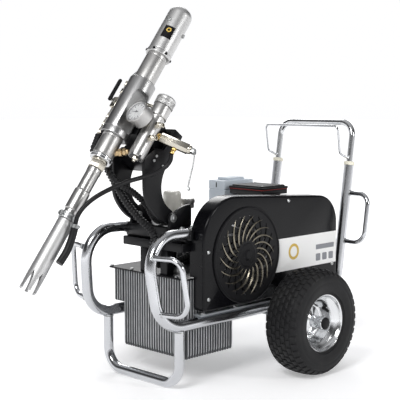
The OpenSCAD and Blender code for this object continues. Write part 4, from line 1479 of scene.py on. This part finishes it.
def makePaintFilter():
    axis = onPump(50, -75, 0)
    body = [
        (19, 475), (23.2, 475), (24.5, 476.4), (24.5, 613), (25.2, 614.2), (27.0, 615), (28, 616),
        (28, 650.8), (27.2, 651.4)
    ]
    body += [(27.2, 652.4), (26.4, 653), (19, 653)]
    build = bmesh.new()
    addTurned(build, body, 0.0005, axis, 96, True)
    cutter = bmesh.new()
    for i in range(3):
        place = axis @ spun(60 * i + 15, "Z")
        addPrism(cutter, rect(-0.04, -0.004, 0.04, 0.004), place, 0.470, 0.482)
    addPiece(
        "filterBody", carved("filterBody", build, cutter), "pump_arm", softSteel, "polished_steel",
        ["filter_body"], 30
    )
    pumpLathe(
        "filterFloor", [(0, 486), (18.6, 486), (18.6, 484), (9, 482.4), (0, 482.4)], iron, "satin_steel", (),
        axis, 48, 0.5, False
    )
    lidOutline = [
        (0, 653), (28.8, 653), (29.2, 654), (28.9, 656), (28.9, 672), (29.6, 673), (29.9, 674.4), (29.9, 676)
    ]
    lidOutline += arcPoints((23.4, 677.5), 6.5, 0, 80, 5) + [(20, 685.2), (17, 684.2), (0, 684.2)]
    pumpLathe("filterCap", lidOutline, satinBright, "satin_steel", ["filter_cap"], axis, 80, 0.5, False)
    build = bmesh.new()
    addPrism(build, rect(0.0284, -0.0009, 0.0297, 0.0009), upright, 0.6565, 0.6715, 0.0004)
    repeatRound("filterKnurl", build, 60, "pump_arm", satinBright, "satin_steel", axis)
    ringPlace = onPump(50, -75, 655)
    lathe(
        "filterSeal", [(0.0272, -0.0024), (0.0284, -0.0022), (0.0284, -0.0014), (0.0272, -0.0012)], ringPlace,
        "pump_arm", blackPlastic, "black_plastic", (), 64, True
    )
    build = bmesh.new()
    addBar(build, (28, -28, 646), (42, -60, 646), 0.0055)
    addNut(build, axis, 0.0085, 0.468, 0.4825)
    addBar(build, (50, -75, 462), (50, -75, 470), 0.0048)
    keepPiece("filterPlug", build, "pump_arm", nickel, "zinc_fitting")


makePaintFilter()


# Outlets and fittings

def makeFittings():
    build = bmesh.new()
    for s in (585, 540):
        place = onPump(44, -97, s, (0, -1, 0))
        addNut(build, place, 0.0105, 0.001, 0.013)
        outline = [
            (0, 0), (7, 0), (7, 16), (6.2, 17), (7, 18), (6.2, 19), (7, 20), (6.2, 21), (7, 22), (6.2, 23),
            (7, 24), (6.2, 25)
        ]
        outline += [(7, 26), (6.4, 28.6), (4.4, 29), (4.2, 20), (0, 20)]
        addLathe(build, mm(outline), place, 32)
    keepPiece("paintOutlets", build, "pump_arm", nickel, "zinc_fitting", ["outlet_fittings"])
    build = bmesh.new()
    lower = onPump(20, -20, 466, (13, -37, 18))
    addNut(build, lower, 0.0125, 0.012, 0.022)
    addTurned(
        build,
        [
            (0, 0), (8.6, 0), (8.6, 12), (7.4, 12.4), (7.4, 24), (9, 25), (9, 34), (7.4, 35), (7.4, 42),
            (0, 43)
        ],
        0.0005, lower, 40
    )
    addNut(build, lower, 0.0115, 0.026, 0.034)
    keepPiece("crossFitting", build, "pump_arm", brass, "zinc_fitting")
    build = bmesh.new()
    addBar(build, (20, 22, 522), (38, 36, 522), 0.007)
    addNut(build, onPump(38, 36, 506), 0.009, 0.002, 0.024)
    keepPiece("sideFitting", build, "pump_arm", nickel, "zinc_fitting")


makeFittings()


# Relief valve: an eight-sided body, a brass union, a forked end and the wire lever

def makeRelief():
    place = pumpPlace @ Matrix.Translation((0.085, -0.090, 0.570)) @ spun(-51.5, "Z")
    along = place @ spun(90, "Y") @ spun(22.5, "Z")
    build = bmesh.new()
    addNut(build, along, 0.0155, 0.0, 0.088, 8, 0.10)
    outline = eased(mm([(0, 87), (13.6, 87), (13.6, 92), (12.2, 94), (11.6, 97), (0, 97)]), 0.0006)
    addLathe(build, outline, along, 48)
    keepPiece("reliefBody", build, "pump_arm", nickel, "zinc_fitting", ["relief_valve"], 30)
    build = bmesh.new()
    addBar(build, (-16, 0, 0), (1, 0, 0), 0.0085, place)
    neck = place @ turned(Vector((-0.011, 0, 0)), (1, 0, 0))
    addNut(build, neck, 0.0115, 0.0, 0.007)
    down = place @ turned(Vector((0.050, 0, -0.012)), (0, 0, -1))
    addNut(build, down, 0.0085, 0.002, 0.009)
    addTurned(
        build, [(0, 0), (5.6, 0), (5.6, 12), (6.9, 13), (6.9, 21), (5.4, 22), (0, 22)], 0.0004, down, 32
    )
    keepPiece("reliefUnion", build, "pump_arm", brassBright, "zinc_fitting")
    build = bmesh.new()
    for y in (-0.007, 0.007):
        flank = place @ sidePlace(y)
        nose = [(0.106 + 0.007 * math.sin(a), -0.007 * math.cos(a)) for a in np.linspace(0.3, 2.84, 8)]
        outline = [(0.095, -0.007), (0.106, -0.007)] + nose + [(0.106, 0.007), (0.095, 0.007)]
        addPrism(build, outline, flank, -0.002, 0.002, 0.0006)
    addBar(build, (106, -12, 0), (106, 12, 0), 0.003, place)
    for y in (-12, 9.4):
        addBar(build, (106, y, 0), (106, y + 2.6, 0), 0.0048, place)
    keepPiece("reliefFork", build, "pump_arm", zincPart, "zinc_fitting")
    lever = place @ Matrix.Translation((0.106, 0, 0))
    build = bmesh.new()
    addTurned(
        build, [(3.05, -4.5), (6.5, -4.5), (6.5, 4.5), (3.05, 4.5)], 0.0006,
        lever @ turned(Vector((0, 0, 0)), (0, 1, 0)), 32, True
    )
    for y in (-3.1, 3.1):
        route = bentLine(mm([(3, y, -4), (14, y, -34), (31, y, -106), (36, y, -112)]), 0.006, 0.002)
        addTube(build, [lever @ p for p in route], 0.0022, 12)
    addTurned(
        build, [(1.6, -4.4), (4.4, -4.4), (4.4, 4.4), (1.6, 4.4)], 0.0008,
        lever @ turned(Vector((0.0355, 0, -0.1105)), (0, 1, 0)), 24, True
    )
    keepPiece("reliefLever", build, "relief_lever", zincPart, "zinc_fitting", ["relief_lever"])


brassBright = metalFinish("unionBrass", rgb(0.60, 0.42, 0.16), 0.2, 0.12, 0.2)
makeRelief()


# Shut-off valve beside the block, its pipes and the dipped handle

def makeShutoff():
    build = bmesh.new()
    at = onPump(-8, 54, 0)
    addPrism(build, roundRect(-0.013, -0.012, 0.013, 0.012, 0.003), at, 0.604, 0.638, 0.0015)
    for s in (512, 540, 566):
        addNut(build, at, 0.011, s / 1000, s / 1000 + 0.018)
    for s in (658, 686):
        addNut(build, at, 0.0105, s / 1000, s / 1000 + 0.014)
    addBar(build, (-8, 54, 512), (-8, 54, 604), 0.008)
    addBar(build, (-8, 54, 638), (-8, 54, 702), 0.006)
    keepPiece("shutoffBody", build, "pump_arm", nickel, "zinc_fitting", ["shutoff_valve"])
    route = bentLine(
        mm([(-8, 54, 698), (-8, 54, 720), (0, 47, 750), (0, 47, 850), (0, 40, 850)]), 0.006, 0.002
    )
    tube("pilotPipe", [pumpPlace @ p for p in route], 0.0045, "pump_arm", zincPart, "zinc_fitting", (), 20)
    handle = pumpPlace @ Matrix(((0, 0, -1, 0), (1, 0, 0, 0.054), (0, 1, 0, 0), (0, 0, 0, 1)))
    outline = []
    for centre, start in ((0.619, 180), (0.683, 0)):
        outline += arcPoints((0, centre), 0.007, start, start + 180, 8)
    build = bmesh.new()
    addPrism(build, outline, handle, 0.0345, 0.0415, 0.0026, 3)
    keepPiece("shutoffHandle", build, "shutoff_handle", blackPlastic, "black_plastic", ["shutoff_handle"])
    build = bmesh.new()
    addBar(build, (-36, 54, 621), (-13, 54, 621), 0.004)
    addNut(build, onPump(-35, 54, 621, (1, 0, 0)), 0.0065, 0.0, 0.004)
    keepPiece("shutoffStem", build, "shutoff_handle", zincPart, "zinc_fitting")


makeShutoff()
print("pump fittings made")


# The arm that carries the pump: two curved cheeks, cross pieces and their screws

pivot = Vector(joints["pump_tilt"]["pos_m"])

arm = {
    "front": [(-262, 694), (-257, 640), (-256, 590), (-250, 558), (-234, 530), (-210, 503), (-186, 487)],
    "back": [(-141, 511), (-152, 520), (-175, 540), (-189, 568), (-191, 601), (-179, 637), (-150, 676)],
    "top": [(-104.5, 737), (-134.5, 760), (-180, 700), (-214, 706)],
    "eye": 0.021,
    "inside": 0.062,
    "outside": 0.076,
    "clearOfFilter": 0.082,
}


def curveInPlane(points, step=0.008):
    return [(p.x, p.z) for p in smoothLine([(x / 1000, 0, z / 1000) for x, z in points], step)]


def makeArm():
    back = pumpPlace.inverted()
    outline = curveInPlane(arm["front"]) + arcPoints((pivot.x, pivot.z), arm["eye"], 214, 388, 14)
    outline += curveInPlane(arm["back"]) + [(x / 1000, z / 1000) for x, z in arm["top"]]
    kept = []
    for x, z in outline:
        p = back @ Vector((x, 0, z))
        if p.z < 0.6 and p.x < arm["clearOfFilter"]:
            q = pumpPlace @ Vector((arm["clearOfFilter"], 0, p.z))
            x, z = q.x, q.z
        kept.append((x, z))
    build = bmesh.new()
    for low in (arm["inside"], -arm["outside"]):
        addPrism(build, kept, sidePlace(), low, low + arm["outside"] - arm["inside"], 0.0016)
    across = pumpPlace @ sidePlace()
    side = arm["inside"] + 0.001
    addPrism(
        build, mm([(97, 500), (165, 500), (165, 530), (150, 546), (97, 546)]), across, -side, side, 0.0014
    )
    addPrism(
        build, mm([(36.4, 546), (150, 546), (150, 610), (104, 640), (36.4, 640)]), across, -0.060, 0.042,
        0.0014
    )
    addPrism(build, mm([(129, 570), (167, 570), (167, 632), (129, 632)]), across, -side, side, 0.0014)
    keepPiece("forkArm", build, "pump_arm", blackPaint, "black_paint", ["fork_arm"])
    build = bmesh.new()
    screw = eased(mm([(0, 0), (4.2, 0), (4.2, 3.4), (3.8, 3.9), (2.2, 3.9), (2.1, 1.4), (0, 1.4)]), 0.0003)
    for n, s in ((112, 508), (112, 524), (150, 514), (140, 592), (156, 592)):
        for y in (-75.8, 75.8):
            addLathe(build, screw, onPump(n, y, s, (0, y, 0)), 24)
    keepPiece("armScrews", build, "pump_arm", zincPart, "zinc_fitting")


def makeBrackets():
    low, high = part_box("pivot_brackets")
    width, rise = 0.088, high.z - low.z
    corner = (high.x, low.z)

    def quarter(angles):
        return [(corner[0] - width * math.cos(a), corner[1] + rise * math.sin(a)) for a in np.radians(angles)]

    outline = [corner] + quarter(range(90, 41, -6))
    outline += arcPoints((pivot.x, pivot.z), 0.016, 64, 224, 12) + quarter([13, 6, 0])
    build = bmesh.new()
    for low in (0.080, -0.090):
        addPrism(build, outline, sidePlace(), low, low + 0.010, 0.0012)
    keepPiece("pivotBrackets", build, "chassis", blackPaint, "black_paint", ["pivot_brackets"])
    build = bmesh.new()
    for side in (-1, 1):
        place = turned(Vector((pivot.x, side * 0.058, pivot.z)), (0, side, 0))
        addTurned(
            build, [(0, 0), (10, 0), (10, 32), (12.6, 32.2), (12.6, 33.6), (0, 33.6)], 0.0005, place, 48
        )
        addNut(build, place, 0.0072, 0.0335, 0.037)
    keepPiece("pivotPins", build, "chassis", zincPart, "satin_steel", ["pivot_pins"])


def makeBeam():
    low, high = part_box("pivot_beam")
    build = bmesh.new()
    section = roundRect(low.x, low.z, high.x, high.z, 0.006)
    addPrism(build, section, sidePlace(), low.y, high.y, 0.0008)
    # flanges that close the beam's ends, where the side tubes meet it
    for near in (-0.154, 0.118):
        addPrism(
            build, roundRect(-0.1502, 0.435, -0.137, 0.4685, 0.004), sidePlace(), near, near + 0.036, 0.0012
        )
    keepPiece("pivotBeam", build, "chassis", blackPaint, "black_paint", ["pivot_beam"])
    low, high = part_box("pivot_stand")
    build = bmesh.new()
    addSlab(build, low, high, 0.005, high.z - 0.026, high.z, 0.0016)
    for y in (-0.045, 0.045):
        addPrism(
            build, roundRect(-0.157, y - 0.015, -0.127, y + 0.015, 0.003), upright, low.z, high.z - 0.026,
            0.0008
        )
    keepPiece("pivotStand", build, "chassis", blackPaint, "plate_grey", ["pivot_stand"])
    build = bmesh.new()
    for y in (-0.112, 0.112):
        for x in (-0.143, -0.103):
            addNut(build, Matrix.Translation((x, y, 0)), 0.0065, 0.469, 0.4735)
            addLathe(
                build, [(0, 0.4688), (0.0085, 0.4688), (0.0085, 0.4698), (0, 0.4698)],
                Matrix.Translation((x, y, 0)), 24
            )
    keepPiece("beamBolts", build, "chassis", zincPart, "zinc_fitting")


makeArm()
makeBrackets()
makeBeam()
print("arm and pivot made")


# Tubes of the frame: bent pipes with weld beads where they meet

frameTube = {
    "radius": 0.01685,
    "bend": 0.095,
    "railZ": 191,
    "side": 160,
    "front": [(-150.4, 137, 455), (-312, 137, 458), (-280, 160, 191)],
    "rear": [(542.5, 160, 191), (609, 160, 622)],
    "foot": (-202, 15.15, 179.15, 62, 0.015),
    "liftRadius": 0.008,
    "liftBend": 0.038,
    "handleRadius": 0.011,
    "hangerRadius": 0.004,
}


def sided(points, side):
    return mm([(x, side * y, z) for x, y, z in points])


def addBead(build, place, radius):
    ring = [(radius + 0.0014 * math.cos(a), 0.0016 * math.sin(a)) for a in np.radians(range(0, 360, 45))]
    addLathe(build, ring, place, 36, True)


def makeFrames():
    for node, side in (("side_frame_right", -1), ("side_frame_left", 1)):
        line = bentLine(sided(frameTube["front"] + frameTube["rear"], side), frameTube["bend"])
        tube(
            node.replace("_f", "F") + "Tube", line, frameTube["radius"], "chassis", zinc, "zinc_tube", [node],
            48
        )
    x, low, high, bend, radius = frameTube["foot"]
    side = frameTube["side"]
    corners = mm([(x, -side, high), (x, -side, low), (x, side, low), (x, side, high)])
    tube("footTube", bentLine(corners, bend / 1000), radius, "chassis", zinc, "zinc_tube", ["front_foot"], 40)
    beads = bmesh.new()
    for y in (-side, side):
        addBead(beads, Matrix.Translation((x / 1000, y / 1000, (frameTube["railZ"] - 16.2) / 1000)), radius)
    build = bmesh.new()
    slant = 92 * Vector((math.sin(math.radians(18)), math.cos(math.radians(18)), 0))
    for a, b, out, depth in (
        (Vector((-283, 168, 240)), Vector((-302, 154, 403)), slant, 5.2),
        (Vector((570, 173, 365)), Vector((595, 173, 528)), Vector((0, 80, 0)), 4.4),
    ):
        for side in (-1, 1):
            corners = sided([b, b + out, a + out, a], side)
            addTube(build, bentLine(corners, frameTube["liftBend"], 0.004), frameTube["liftRadius"], 28)
            away = Vector((out.x, side * out.y, 0)).normalized()
            for end in (corners[0], corners[-1]):
                addBead(beads, turned(Vector(end) + away * depth / 1000, away), frameTube["liftRadius"])
    keepPiece("liftHandles", build, "chassis", zinc, "zinc_tube", ["lift_handles"], 50)
    keepPiece("weldBeads", beads, "chassis", zincPart, "zinc_tube")


def makeHandle():
    top = Vector(frameTube["rear"][1])
    up = (top - Vector(frameTube["rear"][0])).normalized()
    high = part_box("handle_tube")[1]
    reach = (high.z * 1000 - frameTube["handleRadius"] * 1000 - top.z) / up.z
    a, b = top - up * 290, top + up * reach
    mirrored = Vector((1, -1, 1))
    line = bentLine(mm([a * mirrored, b * mirrored, b, a]), 0.050, 0.004)
    tube(
        "handleTube", line, frameTube["handleRadius"], "handle", chrome, "polished_steel", ["handle_tube"], 40
    )
    foot, knee, tip = top + up * 20, Vector((556, 160, 664)), Vector((541, 160, 757))
    line = bentLine(mm([foot * mirrored, knee * mirrored, tip * mirrored, tip, knee, foot]), 0.016, 0.003)
    tube("hoseHanger", line, frameTube["hangerRadius"], "handle", zinc, "zinc_tube", ["hose_hanger"], 20)
    build = bmesh.new()
    collar = [
        (11.04, -26), (13.3, -26), (13.3, -0.3), (16.6, 0.2), (18.2, 1.2), (18.4, 3), (18.4, 9.4),
        (17.4, 11.8)
    ]
    collar += [(14.6, 12.9), (12.2, 13), (11.04, 12)]
    for side in (-1, 1):
        place = turned(sided([top], side)[0], (up.x, 0, up.z))
        addTurned(build, collar, 0.0008, place, 56, True)
    keepPiece("handleBushings", build, "chassis", creamPlastic, "bushing_plastic", ["handle_bushings"])


makeFrames()
makeHandle()
print("frame made")


# Motor: a ribbed housing between two end bells, its feet, fan cowl, terminal box and starter

motor = {"ribs": 44, "core": 0.0865, "rib": 0.0026, "bell": 0.014, "cowlSlots": 24, "floor": 0.214}


def makeMotor():
    low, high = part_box("motor_body")
    cowlLow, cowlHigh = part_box("fan_cowl")
    spin = Vector(joints["motor_spin"]["pos_m"])
    radius = (high.x - low.x) / 2
    front, rear = low.y, high.y
    axis = turned(Vector((spin.x, front, spin.z)), (0, 1, 0))
    length = rear - front
    bell = motor["bell"]
    shell = [
        (0.0122, 0.0), (0.030, 0.0), (0.034, 0.003), (radius - 0.016, 0.004), (radius - 0.004, 0.006),
        (radius, 0.009),
        (radius, bell), (motor["core"], bell + 0.001), (motor["core"], length - bell),
        (radius, length - bell + 0.001), (radius, length - 0.002), (radius - 0.002, length), (0.072, length),
        (0.0122, length),
    ]
    build = bmesh.new()
    addLathe(build, eased(shell, 0.001), axis, 80, True)
    addPrism(
        build, roundRect(spin.x - 0.088, -0.084, spin.x + 0.088, 0.046, 0.006), upright, motor["floor"],
        0.228, 0.0015
    )
    for y in (-0.084, 0.030):
        addPrism(
            build,
            [
                (spin.x - 0.062, 0.226), (spin.x + 0.062, 0.226), (spin.x + 0.050, 0.36),
                (spin.x - 0.050, 0.36)
            ],
            sidePlace(), -y - 0.016, -y, 0.0015
        )
    keepPiece("motorHousing", build, "chassis", motorPaint, "motor_grey", ["motor_body"])
    build = bmesh.new()
    half = motor["rib"] / 2
    addPrism(
        build, rect(motor["core"] - 0.002, -half, radius - 0.0008, half), upright, bell + 0.0005,
        length - bell, 0.0006, 1
    )
    repeatRound("motorRibs", build, motor["ribs"], "chassis", motorPaint, "motor_grey", axis)
    cowlRadius, depth = (cowlHigh.x - cowlLow.x) / 2, cowlHigh.y - cowlLow.y
    cowlAxis = turned(Vector((spin.x, cowlLow.y, spin.z)), (0, 1, 0))
    shell = [
        (0.0, depth - 0.003), (0.082, depth - 0.003), (cowlRadius - 0.003, depth - 0.010),
        (cowlRadius - 0.003, 0.0005)
    ]
    shell += [
        (cowlRadius, 0.0), (cowlRadius, depth - 0.010), (cowlRadius - 0.003, depth - 0.004), (0.080, depth),
        (0.0, depth)
    ]
    build = bmesh.new()
    addLathe(build, shell, cowlAxis, 72)
    cutter = bmesh.new()
    for i in range(motor["cowlSlots"]):
        turn = cowlAxis @ Matrix.Rotation(2 * math.pi * i / motor["cowlSlots"], 4, "Z")
        addPrism(cutter, roundRect(0.030, -0.0024, 0.074, 0.0024, 0.002), turn, depth - 0.008, depth + 0.004)
    addPiece(
        "fanCowl", carved("fanCowl", build, cutter), "chassis", motorPaint, "motor_grey", ["fan_cowl"], 30
    )


terminal = {"neck": (0.290, -0.044, 0.386, 0.066), "neckFoot": 0.505}


def makeTerminalBox():
    low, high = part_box("terminal_box")
    lidLow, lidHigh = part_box("terminal_lid")
    build = bmesh.new()
    addSlab(build, low, high, 0.006, high.z - 0.018, high.z - 0.002, 0.001)
    addPrism(build, roundRect(*terminal["neck"], 0.005), upright, terminal["neckFoot"], high.z - 0.017, 0.001)
    keepPiece("terminalBox", build, "chassis", motorPaint, "black_plastic", ["terminal_box"])
    build = bmesh.new()
    addSlab(build, low, high, 0.006, high.z - 0.0022, high.z, 0.0003, 2, -0.0006)
    keepPiece("terminalGasket", build, "chassis", redRubber, "hose_rubber")
    build = bmesh.new()
    addSlab(build, lidLow, lidHigh, 0.007, lidLow.z, lidLow.z + 0.007, 0.0014, 3)
    addSlab(build, lidLow, lidHigh, 0.006, lidLow.z + 0.006, lidHigh.z, 0.0014, 3, 0.008)
    keepPiece("terminalLid", build, "chassis", blackPlastic, "black_plastic", ["terminal_lid"])
    build = bmesh.new()
    screw = eased(mm([(0, 0), (3.4, 0), (3.2, 1.6), (2.2, 2.2), (1.4, 2.2), (1.3, 1.2), (0, 1.2)]), 0.0002)
    for x in (lidLow.x + 0.016, lidHigh.x - 0.016):
        for y in (lidLow.y + 0.016, lidHigh.y - 0.016):
            addLathe(build, screw, Matrix.Translation((x, y, lidHigh.z - 0.0003)), 20)
    keepPiece("lidScrews", build, "chassis", zincPart, "zinc_fitting")


starter = {
    "seam": 0.541,
    "groove": 0.0016,
    "base": 0.446,
    "post": (0.300, 0.112, 0.360, 0.128),
    "postFoot": (0.290, 0.104, 0.370, 0.144),
}


def makeStarter():
    low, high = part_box("starter_box")
    base, seam, groove = starter["base"], starter["seam"], starter["groove"]
    build = bmesh.new()
    addSlab(build, low, high, 0.005, base, seam - groove / 2, 0.0016)
    addSlab(build, low, high, 0.005, seam + groove / 2, high.z, 0.0022, 3)
    addSlab(build, low, high, 0.005, seam - 0.004, seam + 0.004, margin=0.002)
    keepPiece("starterBox", build, "chassis", greyPlastic, "grey_plastic", ["starter_box"])
    build = bmesh.new()
    addPrism(build, roundRect(*starter["post"], 0.002), upright, motor["floor"], base, 0.0008)
    addPrism(build, roundRect(*starter["postFoot"], 0.003), upright, motor["floor"], 0.220, 0.001)
    keepPiece("starterPost", build, "chassis", greyPaint, "plate_grey")
    build = bmesh.new()
    addPrism(
        build, roundRect(low.x + 0.030, low.y + 0.012, high.x - 0.034, high.y - 0.014, 0.004), upright,
        high.z - 0.001, high.z + 0.009, 0.002, 3
    )
    keepPiece("starterTop", build, "chassis", greyPlastic, "grey_plastic")
    build = bmesh.new()
    face = Matrix(((0, 0, -1, low.x), (-1, 0, 0, 0), (0, 1, 0, 0), (0, 0, 0, 1)))
    middle = (low.y + high.y) / 2
    for z0, z1 in ((seam + 0.008, high.z - 0.006), (seam - 0.044, seam - 0.026)):
        addPrism(build, roundRect(-middle - 0.0022, z0, -middle + 0.0022, z1, 0.0015), face, -0.001, 0.0005)
    spots = [(low.x + 0.040, 0.506), (low.x + 0.075, 0.506)]
    for x, z in spots:
        place = turned(Vector((x, low.y, z)), (0, -1, 0))
        addLathe(
            build, eased([(0, 0), (0.010, 0), (0.010, 0.004), (0.0085, 0.006), (0, 0.006)], 0.0006), place, 32
        )
    keepPiece("starterSlots", build, "chassis", blackPlastic, "black_plastic")


makeMotor()
makeTerminalBox()
makeStarter()
print("motor made")


# Screws of the guard, the lid and the base plate

def makeScrews():
    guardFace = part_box("belt_guard")[0].y
    lidTop = 0.322
    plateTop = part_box("base_plate")[1].z
    tankLow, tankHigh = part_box("oil_tank")
    build = bmesh.new()
    head = eased(
        mm([(0, 0), (6, 0), (6, 1.2), (5.2, 2.8), (3.4, 3.7), (2.2, 3.9), (2.0, 2.2), (0, 2.2)]), 0.0003
    )
    for x, z in ((-0.112, 0.402), (-0.112, 0.262), (0.480, 0.300), (0.250, 0.250), (0.250, 0.528)):
        addLathe(build, head, turned(Vector((x, guardFace, z)), (0, -1, 0)), 28)
    for x in (tankLow.x + 0.003, tankHigh.x - 0.003):
        for y in (-0.100, 0.0, 0.100, 0.195):
            addNut(build, Matrix.Translation((x, y, 0)), 0.006, lidTop, lidTop + 0.0048)
    for x, side in ((-0.110, -1), (0.030, -1), (0.300, -1), (0.430, -1), (0.300, 1), (0.430, 1)):
        place = Matrix.Translation((x, side * 0.164, 0))
        addNut(build, place, 0.007, plateTop, plateTop + 0.0058)
        addLathe(
            build,
            [
                (0, plateTop - 0.0002), (0.009, plateTop - 0.0002), (0.009, plateTop + 0.001),
                (0, plateTop + 0.001)
            ],
            place, 28
        )
    keepPiece("chassisScrews", build, "chassis", zincPart, "zinc_fitting", ["chassis_screws"])


makeScrews()
print("screws made")


makeCamera()
makeLamps()
makeSky()
makeFloor(floorFinish())
print("setting made")
